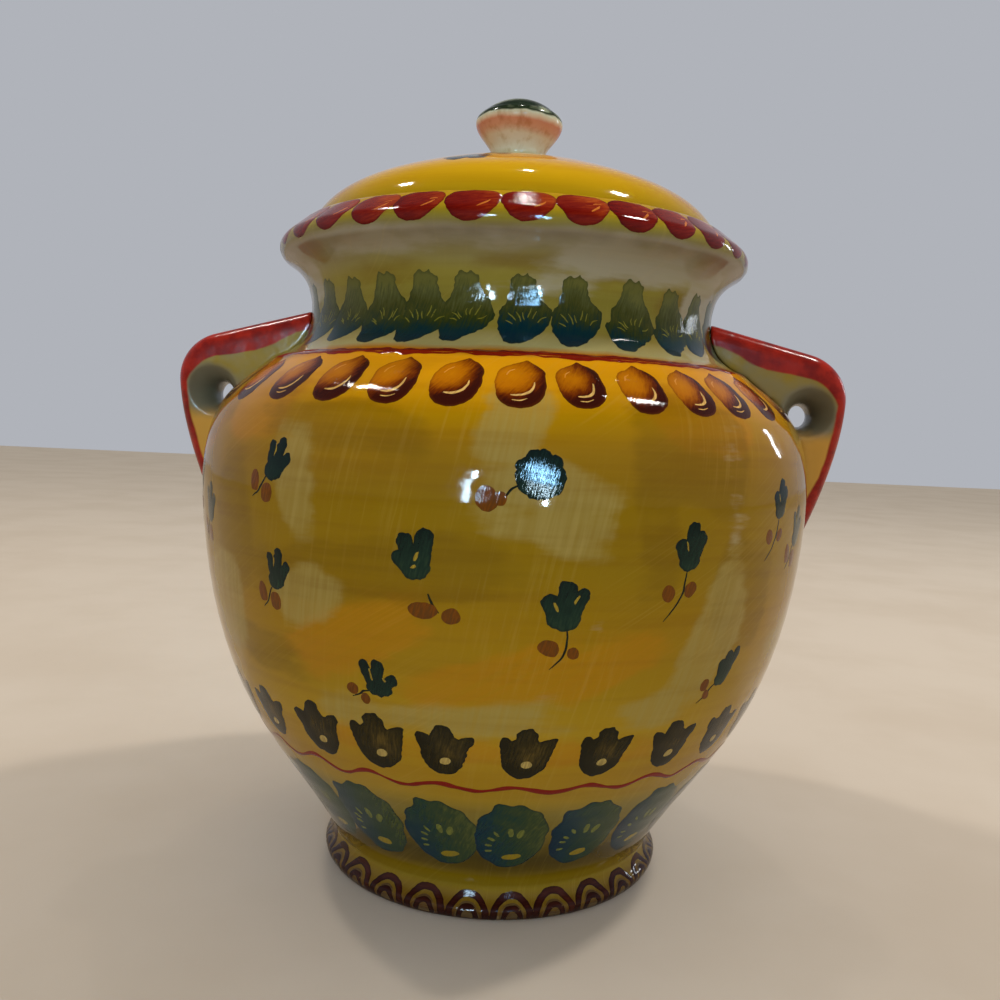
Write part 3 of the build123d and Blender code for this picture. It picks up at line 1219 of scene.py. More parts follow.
# A painted line round the pot, closed on itself: a flat ribbon that wavers as the wheel turns
def liningTree():
    tree, given = openTree(
        "lining",
        [
            ("Start", "Geometry"), ("Meridian", "Object"), ("Row Length", "Float", 0.1),
            ("Width", "Float", 0.001), ("Wave", "Float", 0.001), ("Waves", "Float", 26.0),
            ("Unsteady", "Float", 0.0004), ("Rise", "Float", 0.0001), ("Segments", "Int", 720),
            ("Seed", "Int", 1), ("Paint", "Material"),
        ],
        "Line",
    )
    around = 10  # sides of the ribbon's section
    sheet, step, turn = rolledSheet(tree, given["Segments"], around + 1)
    section = times(step, 2 * math.pi / around)
    circle = combine(calc("COSINE", turn), calc("SINE", turn), given["Seed"])
    width = times(given["Width"], add(0.1, grain(circle, 14.0, 1)))
    wave = calc("SINE", times(turn, calc("ROUND", given["Waves"])))
    wave = times(wave, times(grain(circle, 2.6, 2), given["Wave"]), 2.0)
    drift = times(centred(grain(circle, 5.0, 2), 4.0), given["Unsteady"])
    across = times(calc("COSINE", section), width)
    up = add(add(given["Row Length"], wave), add(drift, across))
    flat = combine(turn, up, times(calc("SINE", section), given["Rise"]))
    ribbon = wrapped(moved(sheet, flat), given["Meridian"], 1.0)
    endTree(welded(ribbon, 0.000001), given["Paint"], "Line")
    return tree


# Brushed enamel: a run of colours across each mark, streaks along the brush, a darker pooled edge
def enamel(name, f):
    material, tree, shader = newMaterial(name)
    x, y, inward = split(attribute(tree, "place", "Vector"))
    tone, mark = attribute(tree, "tone"), attribute(tree, "mark")
    spot = objectSpot(tree)
    angle = math.radians(f.get("strokeAngle", 90))
    c, s = math.cos(angle), math.sin(angle)
    u, v = add(times(x, c), times(y, s)), less(times(y, c), times(x, s))
    streak = grain(combine(times(u, 0.9), times(v, 6.0), times(tone, 9.0)), 3.0, 3, 0.6)
    cloud = grain(spot, 170, 3, 0.6)
    run = add(times(x, f["run"][0]), times(y, f["run"][1]))
    if "round" in f:
        speed, *centre = f["round"]
        away = vectorCalc("SUBTRACT", combine(x, y, 0.0), (*centre, 0))
        reach = put(tree, "ShaderNodeVectorMath", {0: away}, operation="LENGTH").outputs["Value"]
        run = add(run, times(less(reach, 0.35), speed))
    run = add(run, 0.5)
    for field, amount in ((streak, f.get("streak", 0.7)), (cloud, 0.5), (tone, 0.25)):
        run = add(run, centred(field, amount))
    base = colourRamp(run, f["colours"])
    pooled = times(remap(inward, 0.0, 0.45, 1.0, 0.0), f.get("edge", 0.5))
    base = blend(pooled, base, rgb(*f["edgeColour"]))
    for step, colour in enumerate(f.get("marks", ())):
        light = blend(remap(streak, 0.3, 0.7, 0.0, 0.45), rgb(*colour), base)
        base = blend(remap(mark, step + 0.45, step + 0.55), base, light)
    relief = add(grain(spot, 38, 2), times(streak, 0.12))
    gloss = remap(streak, 0.3, 0.8, *paintSkin["gloss"])
    finishGlaze(shader, base, gloss, relief, *paintSkin["relief"])
    return material


painting = paintingTree()
lining = liningTree()
meridians = {"jar": jarOutside(), "lid": lidDome}
meridianObjects = {body: meridianObject(body + "Meridian", line) for body, line in meridians.items()}
frontTurn = 3.0  # the rows are placed from the view, which stands this far round the pot


def walkTo(height, body="jar"):
    line = meridians[body]
    return float(np.interp(height, line[:, 1], walkedAlong(line)))


def radiusAt(height, body):
    line = meridians[body]
    return float(np.interp(height, line[:, 1], line[:, 0]))


def ringTurns(front, count):
    rest = count - len(front)
    gap = (front[0] + 360 - front[-1]) / (rest + 1)
    return list(front) + [front[-1] + gap * (i + 1) for i in range(rest)]


# places: turn, height, kind, lean in degrees, size
def paintBand(name, f, places, templates, paint, body="jar", slot="jar_glaze"):
    group = bpy.data.collections.new(name + "Marks")
    scene.collection.children.link(group)
    for number, skins in enumerate(templates):
        markTemplate(f"{name}{number:02d}", group, skins)
    radius = f.get("radius") or radiusAt(f["height"], body)
    turns, heights, kinds, leans, sizes = zip(*places)
    flat = []
    for turn, height in zip(turns, heights):
        x = math.radians(turn - 90 + frontTurn) * radius
        flat.append((x * mm, walkTo(height, body) * mm, 0))
    mesh = bpy.data.meshes.new(name)
    mesh.from_pydata(flat, [], [])
    setField(mesh, "kind", kinds)
    setField(mesh, "lean", [math.radians(lean) for lean in leans])
    setField(mesh, "grow", sizes)
    obj = placed(name, mesh)
    values = {
        "Meridian": meridianObjects[body],
        "Marks": group,
        "Row Radius": radius * mm,
        "Wander": f.get("wander", 0.3) * mm,
        "Lean Jitter": math.radians(f.get("leanJitter", 4)),
        "Size Jitter": f.get("sizeJitter", 0.05),
        "Unsteady": f.get("unsteady", 0.35) * mm,
        "Seed": f["seed"],
        "Paint": paint,
    }
    runTree(obj, painting, values)
    for template in list(group.objects):
        bpy.data.objects.remove(template)
    bpy.data.collections.remove(group)
    dress(obj, body, slot)
    print(name, "painted:", len(places), "marks,", len(obj.data.polygons), "faces")


# One row of marks at a single height: the turns given for the front, then evenly round the back
def paintRow(name, f, skinsOf):
    draw = random.Random(f["seed"] + 40)
    turns = ringTurns(f["front"], f["count"])
    places = [(turn, f["height"], draw.randrange(f["variants"]), 0, 1) for turn in turns]
    templates = [skinsOf(variant) for variant in range(f["variants"])]
    paintBand(name, f, places, templates, enamel(f["paint"], f))


rimOvals = {
    "height": 205.0,
    "gap": 0.7,  # the rim turns sharply, so the skin needs closer points
    "front": (-54.2, -42.8, -31.2, -20.3, -8.9, 2.6, 13.9, 25.1, 36.3, 47.8, 59.4),
    "count": 32,
    "variants": 3,
    "paint": "rimPaint",
    "seed": 3,
    "sizeJitter": 0.02,
    "leanJitter": 2,
    "wander": 0.2,
    "run": (0.3, 0.3),
    "strokeAngle": 12,
    "streak": 0.9,
    "colours": [
        (0.0, (66, 4, 1)),
        (0.35, (92, 8, 2)),
        (0.62, (108, 20, 4)),
        (0.85, (130, 40, 7)),
        (1.0, (150, 62, 14)),
    ],
    "edgeColour": (64, 4, 2),
    "edge": 0.5,
    "marks": [(190, 104, 34)],
}


def ovalSkins(variant):
    f = rimOvals
    s = 1.0 + 0.02 * variant
    body = [
        (-7.5 * s, 2.2), (-7.0, 4.4), (-5.3, 5.9), (-2.3, 6.6), (2.4, 6.6), (5.6, 6.1), (7.1 * s, 4.6),
        (7.5 * s, 2.4), (6.8, -0.8), (4.7, -3.6), (1.9, -5.3), (-1.5, -5.7), (-4.9, -4.2), (-7.0, -0.8),
    ]
    commas = [
        brushLine([(1.6, -1.6), (2.8, -0.6), (4.0, 0.6), (4.8, 1.6)], 0.7, 0.3, 0.3),
        brushLine([(3.0, 2.2), (4.2, 2.6), (5.4, 2.4)], 0.45),
    ]
    skins = [skinOf([body], rough=0.16, seed=variant, gap=f["gap"])]
    for line in commas[: 2 - variant % 2]:
        skins.append(skinOf([line], 1, 1.0, 0.14, variant))
    return skins


paintRow("rimOvals", rimOvals, ovalSkins)


neckLeaves = {
    "height": 178.2,
    "front": (-56, -43.8, -31.6, -21.2, -10.4, 3.1, 15.5, 30.2, 43.3, 55.5),
    "count": 29,
    "variants": 4,
    "paint": "neckPaint",
    "seed": 5,
    "wander": 0.3,
    "sizeJitter": 0.04,
    "leanJitter": 5,
    "run": (0.05, 0.52),
    "strokeAngle": 75,
    "streak": 0.6,
    "colours": [
        (0.0, (2, 28, 36)),
        (0.24, (8, 34, 34)),
        (0.42, (34, 40, 10)),
        (0.6, (52, 50, 3)),
        (0.8, (66, 64, 24)),
        (1.0, (84, 78, 30)),
    ],
    "edgeColour": (24, 32, 10),
    "edge": 0.4,
    "marks": [(110, 100, 24)],
}


def neckLeafSkins(variant):
    draw = random.Random(variant + 70)
    body = [
        (1.2, 10.9), (-0.2, 10.4), (-1.5, 11.1), (-2.7, 10.1), (-3.5, 8.4), (-3.8, 6.6), (-4.6, 5.0),
        (-4.9, 3.4), (-6.4, 1.8), (-7.0, -0.8), (-7.7, -2.4), (-7.6, -5.2), (-7.0, -8.0), (-5.2, -10.4),
        (-2.6, -10.9), (-0.6, -9.8), (1.8, -8.2), (4.2, -6.4), (6.4, -4.4), (7.8, -1.6), (7.4, 0.8),
        (6.1, 2.8), (4.8, 4.2), (3.9, 6.2), (3.5, 7.8), (3.2, 9.4), (2.3, 9.9),
    ]
    body = [(x * (1 + draw.uniform(-0.07, 0.07)), y * (1 + draw.uniform(-0.04, 0.04))) for x, y in body]
    skins = [skinOf([body], rough=0.45, seed=variant + 3.0)]
    centre = np.array([0.2, -5.2])
    for i in range(7):
        angle = 156 - i * 20 + draw.uniform(-7, 7)
        start = centre + heading(angle) * draw.uniform(2.6, 4.2)
        end = start + heading(angle + draw.uniform(-12, 12)) * draw.uniform(1.8, 3.4)
        bend = heading(angle + 90) * draw.uniform(-0.3, 0.4)
        line = [start, (start + end) / 2 + bend, end]
        skins.append(skinOf([brushLine(line, 0.34)], 1, 1.0, 0.08, variant))
    return skins


paintRow("neckLeaves", neckLeaves, neckLeafSkins)


shoulderBalls = {
    "height": 158.3,
    "front": (-65.5, -55.1, -42.2, -30.4, -19.5, -8.8, 1.7, 12.0, 22.9, 33.5, 43.3, 53.7, 64.5),
    "count": 33,
    "variants": 3,
    "paint": "ballPaint",
    "seed": 7,
    "wander": 0.25,
    "sizeJitter": 0.03,
    "leanJitter": 6,
    "run": (0.36, -0.22),
    "round": (0.9, -0.14, 0.22),  # how fast it darkens outwards, and from where
    "strokeAngle": 60,
    "streak": 0.45,
    "colours": [
        (0.0, (168, 98, 1)),
        (0.34, (158, 88, 0)),
        (0.56, (132, 66, 0)),
        (0.72, (98, 38, 1)),
        (0.88, (68, 20, 3)),
        (1.0, (48, 12, 4)),
    ],
    "edgeColour": (84, 36, 2),
    "edge": 0.4,
    "marks": [(206, 158, 84), (186, 108, 16)],
}


def ballSkins(variant):
    body = [
        (-6.2, 0.6), (-5.9, 3.8), (-4.2, 6.6), (-1.4, 7.9), (0.6, 8.9), (1.8, 9.5), (3.2, 8.2),
        (5.0, 6.8), (6.4, 4.6), (6.6, 1.0), (6.3, -3.0), (5.0, -6.6), (2.2, -8.6), (-1.2, -8.8),
        (-4.2, -7.2), (-5.8, -3.6),
    ]
    lean = 0.25 * variant
    body = [(x, y + lean * x / 6) for x, y in body]
    gleam = [(-2.0, -4.9), (-0.4, -5.0), (1.2, -4.6), (2.5, -3.4), (3.3, -1.6), (3.5, 0.2)]
    skins = [
        skinOf([body], rough=0.16, seed=variant),
        skinOf([brushLine(gleam, 0.75, 0.25, 0.35)], 1, 1.0, 0.1, variant),
        skinOf([brushLine([(-3.6, 2.6), (-2.9, 4.2), (-1.4, 5.4)], 0.5)], 1, 2.0, 0.1, variant),
    ]
    if variant % 2:
        skins.append(skinOf([brushLine([(-1.6, -6.4), (0.2, -6.6), (2.0, -6.0)], 0.34)], 1, 1.0, 0.06))
    return skins


paintRow("shoulderBalls", shoulderBalls, ballSkins)


tulips = {
    "height": 61.4,
    "front": (-62, -48.8, -33.9, -20.8, -8.7, 5.8, 19.8, 34.2, 48.2, 61.5),
    "count": 26,
    "variants": 4,
    "paint": "tulipPaint",
    "seed": 9,
    "leanJitter": 4,
    "run": (0.08, 0.06),
    "round": (-0.55, 0.1, 0.05),
    "strokeAngle": 80,
    "streak": 0.9,
    "colours": [
        (0.0, (14, 10, 0)),
        (0.35, (24, 18, 1)),
        (0.6, (42, 31, 4)),
        (0.85, (74, 54, 14)),
        (1.0, (92, 68, 20)),
    ],
    "edgeColour": (16, 12, 1),
    "edge": 0.8,
    "marks": [(164, 132, 66)],
}


def tulipSkins(variant):
    draw = random.Random(variant + 60)
    body = [
        (-6.5, -2.8), (-6.9, 0.6), (-7.6, 3.2), (-7.4, 5.6), (-5.8, 5.9), (-4.2, 5.2), (-3.3, 5.6),
        (-2.9, 7.4), (-1.7, 8.9), (0.2, 9.3), (1.8, 8.4), (2.5, 6.6), (3.3, 5.0), (4.8, 5.4), (6.6, 6.3),
        (8.0, 5.7), (7.8, 3.8), (6.8, 1.6), (6.3, -0.6), (6.0, -3.2), (4.4, -6.4), (1.7, -8.4),
        (-1.8, -8.5), (-4.7, -6.4),
    ]
    body = [(x + draw.uniform(-0.35, 0.35), y + draw.uniform(-0.3, 0.3)) for x, y in body]
    eye = blob((0.3, -3.3), 3.1, 2.6, 10, 7, 0.12, variant)
    return [skinOf([body], rough=0.36, seed=variant + 8.0), skinOf([eye], 1, 1.0, 0.1, variant)]


paintRow("tulips", tulips, tulipSkins)


shells = {
    "height": 31.4,
    "front": (-67, -48.8, -30.8, -12, 4.8, 23.5, 42.8, 61),
    "count": 20,
    "variants": 3,
    "paint": "shellPaint",
    "seed": 13,
    "wander": 0.4,
    "leanJitter": 3,
    "run": (0.34, 0.06),
    "strokeAngle": 70,
    "streak": 0.9,
    "colours": [
        (0.0, (0, 26, 42)),
        (0.25, (4, 38, 44)),
        (0.48, (26, 46, 30)),
        (0.76, (46, 54, 24)),
        (1.0, (72, 72, 28)),
    ],
    "edgeColour": (0, 24, 26),
    "edge": 0.6,
    "marks": [(104, 100, 36), (136, 104, 10)],
}


def shellSkins(variant):
    draw = random.Random(variant + 90)
    body = []
    lobes = 11
    for i in range(lobes * 2):
        angle = 2 * math.pi * (i + 0.4 * variant) / (lobes * 2)
        notch = 0.05 if math.sin(angle) > -0.2 else 0.0
        grow = (1.0 - notch * (i % 2)) * draw.uniform(0.98, 1.02)
        x, y = 11.3 * math.cos(angle) * grow, 16.2 * math.sin(angle) * grow
        x *= 1 - 0.13 * math.sin(angle) ** 3
        body.append((x, y))
    tip = max(range(len(body)), key=lambda i: body[i][1] - body[i][0] * 0.9)
    body[tip] = (body[tip][0] - 0.8, body[tip][1] + 1.3)
    skins = [skinOf([body], rough=0.25, seed=variant + 2.0)]
    centre = np.array([0.6, -6.6])
    for i, angle in enumerate((186, 168, 150, 130, 98, 64)):
        angle += draw.uniform(-4, 4)
        stretch = np.array([1.0, 1.5])
        start = centre + heading(angle) * (6.0 if i < 4 else 4.4) * stretch
        end = centre + heading(angle) * (8.2 if i < 4 else 7.2) * stretch
        width = draw.uniform(0.9, 1.2) if i < 4 else draw.uniform(1.7, 2.1)
        dab = brushLine([start, (start + end) / 2, end], width, 0.7, 0.5)
        skins.append(skinOf([dab], 1, 1.0, 0.2, i))
    skins.append(skinOf([blob((1.0, -10.8), 6.0, 3.0, 6, 8, 0.12, variant)], 1, 2.0, 0.14))
    return skins


paintRow("shells", shells, shellSkins)


footArches = {
    "height": 4.6,
    "front": (-60, -46.5, -33, -19.5, -6, 7.5, 21, 34.5, 48, 61.5),
    "count": 27,
    "variants": 2,
    "paint": "archPaint",
    "seed": 17,
    "wander": 0.25,
    "leanJitter": 3,
    "run": (0.1, 0.3),
    "strokeAngle": 0,
    "colours": [
        (0.0, (24, 6, 3)),
        (0.5, (42, 12, 6)),
        (1.0, (70, 26, 12)),
    ],
    "edgeColour": (22, 6, 3),
    "marks": [(84, 62, 34)],
}


def archSkins(variant):
    def arch(width, height, brush):
        turns = np.linspace(math.pi, 0, 9)
        line = [(width / 2 * math.cos(a), -4.1 + height * math.sin(a)) for a in turns]
        return brushLine(line, brush, 0.85, 0.85)

    turns = np.linspace(0, 2 * math.pi, 16)[:-1]
    gap = [(3.9 * math.cos(a), -4.2 + 5.6 * max(0, math.sin(a))) for a in turns]
    return [
        skinOf([gap], -1, 1.0, 0.1, variant, 0.7),
        skinOf([arch(11.6, 7.8, 2.3)], rough=0.18, seed=variant, gap=0.7),
        skinOf([arch(5.4, 3.9, 1.8)], rough=0.15, seed=variant + 4, gap=0.7),
    ]


paintRow("footArches", footArches, archSkins)


sprigs = {
    "radius": 98.0,
    "front": [  # turn, height, kind, lean, size
        (-37.1, 135.8, 5, -6, 0.95),
        (-37.0, 106.6, 5, 4, 0.9),
        (-12.7, 115.4, 2, 0, 1.0),
        (4.9, 135.8, 4, 0, 1.0),
        (29.0, 118.3, 0, 0, 1.0),
        (9.4, 103.7, 3, 0, 1.0),
        (-19.0, 80.8, 1, 0, 1.0),
        (41.9, 83.6, 6, 0, 0.95),
        (51.0, 130.0, 0, -4, 0.9),
        (-59.8, 121.2, 5, 6, 0.95),
    ],
    "turns": 3,  # the same scatter goes three times round
    "seed": 19,
    "wander": 0.0,
    "leanJitter": 0,
    "sizeJitter": 0.0,
    "unsteady": 0.3,
    "run": (0.1, -0.3),
    "strokeAngle": 75,
    "streak": 0.8,
    "colours": [
        (0.0, (0, 8, 4)),
        (0.4, (2, 20, 14)),
        (0.7, (14, 34, 22)),
        (1.0, (36, 50, 28)),
    ],
    "edgeColour": (2, 14, 10),
    "edge": 0.5,
    "marks": [(20, 18, 2), (102, 50, 2), (140, 112, 30)],
    # fingers: root, tip, width at the root and at the tip; palm and dots: middle, width, height, tilt
    "kinds": {
        0: {
            "fingers": [
                ((-0.8, -4.4), (-3.4, 1.9), 3.2, 4.0), ((-0.2, -4.4), (0.9, 6.2), 4.2, 3.9),
                ((0.8, -4.4), (3.8, 3.8), 3.4, 3.5),
            ],
            "palm": ((-0.2, -3.4), 6.6, 6.0, 0),
            "stem": [(-0.5, -6.4), (-0.8, -9.6), (-1.2, -12.0), (-2.8, -15.6), (-6.2, -19.6)],
            "dots": [((-5.6, -12.0), 4.0, 4.6, 20), ((1.2, -11.2), 3.6, 4.4, -30)],
            "bare": [((-1.1, 0.2), 0.4, 3.0, 20)],
        },
        1: {
            "fingers": [
                ((-1.4, -2.6), (-4.4, 5.2), 3.0, 2.8), ((-0.4, -2.2), (0.4, 5.4), 3.4, 3.6),
                ((1.2, -3.0), (5.2, 1.4), 3.0, 3.0),
            ],
            "palm": ((0.2, -2.6), 8.2, 4.8, -8),
            "stem": [(-3.0, -3.6), (-4.8, -4.0), (-5.9, -4.9), (-8.6, -6.1)],
            "dots": [((-8.1, -3.6), 3.8, 3.4, -20), ((-4.4, -6.2), 2.8, 3.6, 20)],
            "bare": [((-1.9, 1.2), 0.7, 3.4, 12), ((2.0, 0.2), 0.9, 1.4, 40)],
        },
        2: {
            "fingers": [
                ((-0.8, -4.4), (-4.9, -0.4), 3.0, 3.4), ((-0.4, -3.4), (-2.6, 4.5), 3.4, 3.9),
                ((1.8, -3.6), (3.3, 5.9), 4.4, 4.4),
            ],
            "palm": ((1.0, -4.3), 7.2, 5.4, 12),
            "stem": [(4.0, -10.2), (4.6, -11.8), (5.4, -13.4), (6.8, -15.2)],
            "dots": [((2.6, -14.6), 7.2, 4.6, -8), ((9.9, -15.8), 4.8, 4.6, 20)],
            "bare": [((0.9, -1.0), 0.9, 2.6, -20), ((0.2, -3.6), 1.3, 1.0, 0)],
        },
        3: {
            "fingers": [
                ((-1.6, -3.2), (-4.5, 2.4), 3.8, 4.4), ((0.2, -3.2), (0.6, 6.1), 4.2, 4.8),
                ((1.8, -3.2), (5.2, 4.3), 3.8, 3.4),
            ],
            "palm": ((0.0, -3.7), 9.0, 6.0, 0),
            "stem": [(1.0, -6.2), (1.5, -9.2), (1.3, -11.6), (0.0, -14.4), (-2.6, -17.2)],
            "dots": [((-3.2, -11.4), 5.8, 4.6, -14), ((3.2, -12.6), 3.4, 3.2, 0)],
            "bare": [((-2.0, -0.6), 0.9, 3.4, 24), ((3.0, 1.4), 0.7, 3.0, -24)],
        },
        4: {
            "fingers": [
                ((-0.8, -1.0), (-4.9, 3.4), 4.4, 4.2), ((-0.4, -1.0), (-1.9, 5.8), 4.2, 3.6),
                ((0.0, -1.0), (1.4, 6.0), 4.2, 3.4), ((0.6, -1.0), (4.6, 4.2), 4.2, 3.6),
                ((0.6, -1.6), (6.2, 0.6), 4.6, 3.6),
            ],
            "palm": ((0.2, -0.6), 12.6, 10.6, 0),
            "stem": [(-4.6, -2.8), (-6.2, -3.6), (-7.4, -5.0), (-8.6, -6.4)],
            "dots": [((-12.6, -6.2), 5.8, 6.4, 10), ((-9.2, -6.2), 3.2, 3.4, 0)],
            "bare": [],
        },
        5: {
            "fingers": [
                ((-1.4, -3.4), (-3.2, 5.2), 2.8, 2.8), ((-0.6, -3.2), (1.5, 6.4), 3.4, 3.4),
                ((0.4, -3.6), (5.0, 2.2), 3.0, 3.0),
            ],
            "palm": ((-0.8, -3.0), 7.4, 6.0, 10),
            "stem": [(-2.8, -4.6), (-4.6, -7.0), (-6.2, -9.6), (-8.8, -11.8)],
            "dots": [((-8.2, -7.2), 3.8, 6.2, 6), ((-2.7, -9.6), 4.8, 5.6, 0)],
            "bare": [((-1.0, 2.4), 0.5, 2.6, -6)],
        },
        6: {
            "fingers": [
                ((-1.6, -3.4), (-2.6, 2.6), 3.0, 3.2), ((-0.8, -3.6), (0.8, 5.0), 3.2, 3.2),
                ((0.0, -4.0), (4.6, 5.8), 3.2, 3.0),
            ],
            "palm": ((-0.8, -3.4), 6.4, 5.4, 25),
            "stem": [(-3.4, -5.4), (-5.0, -6.8), (-6.6, -9.0), (-9.2, -11.0)],
            "dots": [((-8.0, -5.0), 3.6, 4.0, 0), ((-6.0, -8.4), 3.0, 3.8, 20)],
            "bare": [],
        },
    },
}


def sprigSkins(kind):
    f = sprigs["kinds"][kind]
    middle, width, height, tilt = f["palm"]
    body = [petal(*finger) for finger in f["fingers"]]
    body.append(blob(middle, width, height, tilt, 9, 0.05, kind))
    skins = [skinOf(body, rough=0.42, seed=kind + 5.0)]
    skins.append(skinOf([brushLine(f["stem"], 0.62, 0.3, 0.5)], 0, 1.0, 0.08, kind))
    for number, (middle, width, height, tilt) in enumerate(f["dots"]):
        dot = blob(middle, width, height, tilt, 8, 0.09, kind + number)
        skins.append(skinOf([dot], 0, 2.0, 0.14, kind + number))
    for middle, width, height, tilt in f["bare"]:
        nick = blob(middle, width, height, tilt, 7, 0.3, kind)
        skins.append(skinOf([nick], 1, 3.0, 0.2, kind))
    return skins


def sprigPlaces():
    places = []
    for i in range(sprigs["turns"]):
        places += [(p[0] + i * 360 / sprigs["turns"], *p[1:]) for p in sprigs["front"]]
    return places


sprigPaint = enamel("sprigPaint", sprigs)
sprigTemplates = [sprigSkins(kind) for kind in sprigs["kinds"]]
paintBand("sprigs", sprigs, sprigPlaces(), sprigTemplates, sprigPaint)


lidSprigs = {
    "radius": 46.5,
    "places": [(-17, 224.5, 0, 150, 1.05), (103, 224.5, 1, 170, 1.05), (223, 224.5, 2, 190, 1.05)],
    "kinds": (3, 0, 1),
    "seed": 29,
    "wander": 0.0,
    "leanJitter": 0,
    "sizeJitter": 0.0,
}
lidTemplates = [sprigSkins(kind) for kind in lidSprigs["kinds"]]
paintBand("lidSprigs", lidSprigs, lidSprigs["places"], lidTemplates, sprigPaint, "lid", "lid_glaze")


potLines = {  # height, width, wave, waves, unsteady, seed
    "waveLine": (49.8, 1.3, 1.5, 25, 0.4, 2),
    "creaseLine": (166.2, 3.0, 0.2, 21, 0.3, 6),
}
lineFinish = {
    "rise": 0.09,
    "run": (0.0, 0.0),
    "colours": [(0.0, (84, 6, 1)), (0.5, (112, 16, 2)), (1.0, (138, 50, 6))],
    "edgeColour": (70, 12, 4),
    "edge": 0.0,
}
linePaint = enamel("linePaint", lineFinish)
for name, (height, width, wave, waves, unsteady, seed) in potLines.items():
    line = meridianObject(name, [(0, 0), (1, 0)])
    values = {
        "Meridian": meridianObjects["jar"],
        "Row Length": walkTo(height) * mm,
        "Width": width * mm,
        "Wave": wave * mm,
        "Waves": waves,
        "Unsteady": unsteady * mm,
        "Rise": lineFinish["rise"] * mm,
        "Seed": seed,
        "Paint": linePaint,
    }
    runTree(line, lining, values)
    dress(line, "jar", "jar_glaze")
    print(name, "painted:", len(line.data.polygons), "faces")
for line in meridianObjects.values():
    bpy.data.objects.remove(line)


# Camera: a hand-held view from just above the handles, a little to the right and tilted
cameraPlace = {
    "distance": 0.324,
    "height": 0.14702,
    "turn": 3.0,
    "yaw": -0.00399,
    "pitch": -0.07891,
    "roll": 0.04131,
    "lens": 33.62,
}


def makeCamera():
    c = cameraPlace
    yaw, pitch, roll = c["yaw"], c["pitch"], c["roll"]
    ahead = Vector((math.sin(yaw) * math.cos(pitch), math.cos(yaw) * math.cos(pitch), math.sin(pitch)))
    right = Vector((math.cos(yaw), -math.sin(yaw), 0))
    up = right.cross(ahead)
    across = right * math.cos(roll) + up * math.sin(roll)
    upwards = up * math.cos(roll) - right * math.sin(roll)
    turned = Matrix((across, upwards, -ahead)).transposed()
    spin = Matrix.Rotation(math.radians(c["turn"]), 3, "Z")
    place = (spin @ turned).to_4x4()
    place.translation = spin @ Vector((0, -c["distance"], c["height"]))
    data = bpy.data.cameras.new("camera")
    data.lens = c["lens"]
    data.sensor_width = 36
    data.clip_start = 0.01
    camera = placed("camera", data)
    camera.matrix_world = place
    scene.camera = camera


makeCamera()
print("camera placed")


studio = {
    "ambient": 0.84,
    "warmth": (1.0, 0.975, 0.92),
    "backdrop": (176, 179, 186),
    "overhead": (74, 76, 82),
    "lamps": [  # name, place, aimed at, width, height, watts, colour
        ("ceilingRight", (0.82, 0.1, 1.5), (0, 0, 0.13), 0.12, 0.12, 11, (1.0, 0.96, 0.9)),
        ("ceilingLeft", (-0.8, 0.2, 1.45), (0, 0, 0.13), 0.1, 0.1, 6, (1.0, 0.94, 0.86)),
        ("ceilingBack", (0.03, 0.44, 1.55), (0, 0, 0.13), 0.05, 0.035, 1.1, (1.0, 0.96, 0.9)),
        ("backPanel", (1.5, 0.9, 0.6), (0, 0, 0.13), 0.07, 0.4, 2.4, (0.84, 0.92, 1.0)),
    ],
    "daylight": [  # what the windows cast on the pot's middle
        ("rightWindow", (0.45, -1.64, 0.35), (-0.03, 0, 0.1), 0.13, 0.36, 0.14, (0.32, 0.64, 1.0)),
        ("leftWindow", (-0.24, -1.68, 0.36), (-0.04, 0, 0.12), 0.08, 0.32, 0.04, (0.5, 0.76, 1.0)),
    ],
    "daylightSpread": 13,
    "panes": [  # what the glaze shows of the windows
        ("rightPaneTop", (0.23, -0.87, 0.35), (-0.085, 0, 0.13), 0.075, 0.105, 0.075, (0.3, 0.64, 1.0)),
        ("rightPaneLow", (0.23, -0.87, 0.24), (-0.085, 0, 0.13), 0.075, 0.105, 0.075, (0.3, 0.64, 1.0)),
        ("rightSill", (0.245, -0.87, 0.135), (-0.085, 0, 0.13), 0.025, 0.1, 0.028, (0.6, 0.84, 1.0)),
        ("leftPaneTop", (-0.23, -1.68, 0.38), (-0.12, 0, 0.12), 0.08, 0.22, 0.2, (0.55, 0.8, 1.0)),
        ("leftPaneLow", (-0.29, -1.68, 0.155), (-0.12, 0, 0.12), 0.06, 0.22, 0.07, (0.55, 0.8, 1.0)),
    ],
    "paneSpread": 16,
}


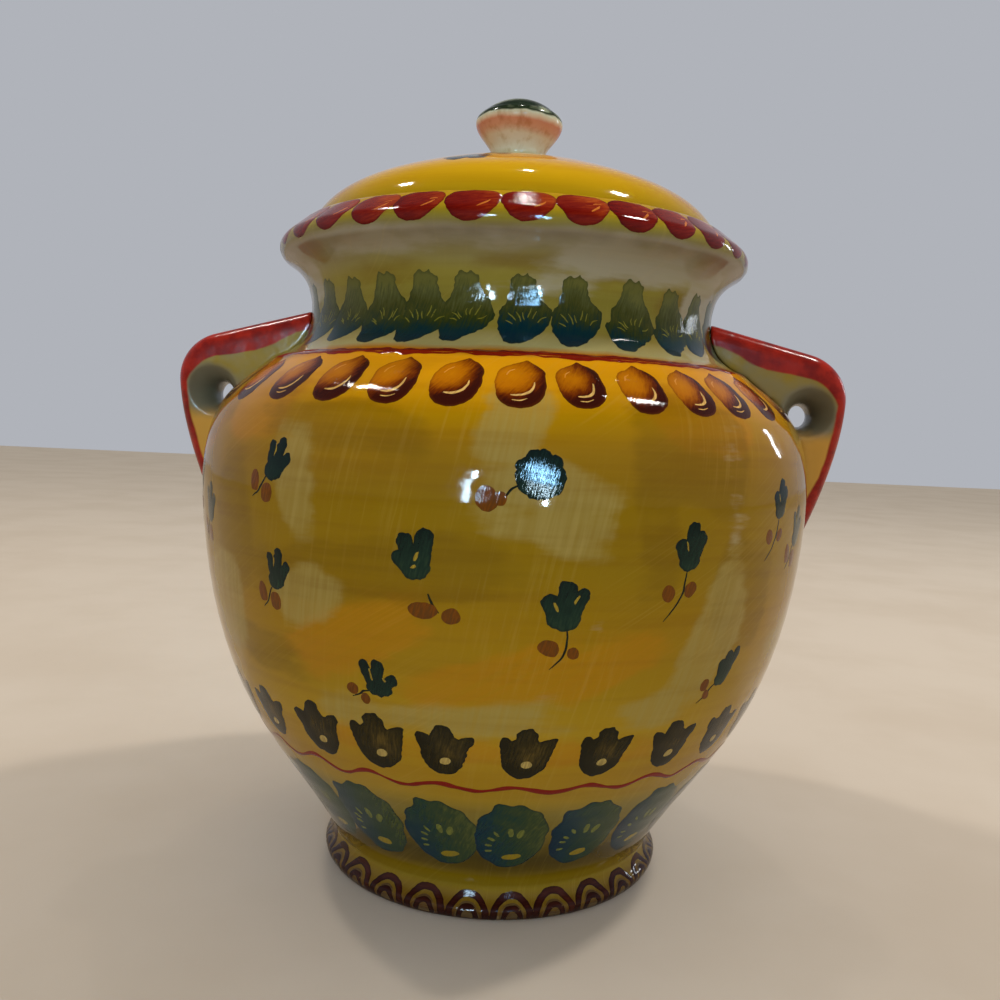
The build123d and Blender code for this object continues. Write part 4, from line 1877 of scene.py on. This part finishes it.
def hangLamp(name, place, aim, width, height, watts, colour, spread=180):
    data = bpy.data.lights.new(name, "AREA")
    data.shape = "RECTANGLE"
    data.size, data.size_y = width, height
    data.energy = watts
    data.color = colour
    data.spread = math.radians(spread)
    lamp = placed(name, data)
    lamp.location = place
    lamp.rotation_euler = (Vector(aim) - Vector(place)).to_track_quat("-Z", "Y").to_euler()
    return lamp


def makeStudio():
    for row in studio["lamps"]:
        hangLamp(*row)
    for row in studio["daylight"]:
        hangLamp(*row, studio["daylightSpread"]).visible_glossy = False
    for row in studio["panes"]:
        hangLamp(*row, studio["paneSpread"]).visible_diffuse = False
    world = bpy.data.worlds.new("studio")
    world.use_nodes = True
    scene.world = world
    tree = world.node_tree
    shown = tree.nodes["Background"]
    direction = put(tree, "ShaderNodeTexCoord").outputs["Generated"]
    raised = remap(split(direction)[2], 0.4, 0.85)
    colour = blend(raised, rgb(*studio["backdrop"]), rgb(*studio["overhead"]))
    feed(shown.inputs["Color"], colour)
    feed(shown.inputs["Strength"], 1.0)
    inputs = {"Color": (*studio["warmth"], 1), "Strength": studio["ambient"]}
    lit = put(tree, "ShaderNodeBackground", inputs)
    ray = put(tree, "ShaderNodeLightPath").outputs
    seen = calc("MAXIMUM", ray["Is Camera Ray"], ray["Is Glossy Ray"])
    seen = calc("MAXIMUM", seen, ray["Is Transmission Ray"])
    mixed = put(tree, "ShaderNodeMixShader", {0: seen, 1: out(lit), 2: out(shown)})
    feed(tree.nodes["World Output"].inputs["Surface"], out(mixed))


makeStudio()
print("studio lit")


def makeFloor():
    mesh = bpy.data.meshes.new("floor")
    mesh.from_pydata([(-3, -3, 0), (3, -3, 0), (3, 3, 0), (-3, 3, 0)], [], [(0, 1, 2, 3)])
    material, tree, shader = newMaterial("paleFloor", {"Roughness": 0.8, "Specular IOR Level": 0.2})
    cloud = remap(grain(objectSpot(tree), 9, 4), 0.35, 0.7)
    feed(shader.inputs["Base Color"], blend(cloud, rgb(182, 170, 156), rgb(177, 164, 149)))
    mesh.materials.append(material)
    floor = placed("floor", mesh)


makeFloor()
print("floor laid")
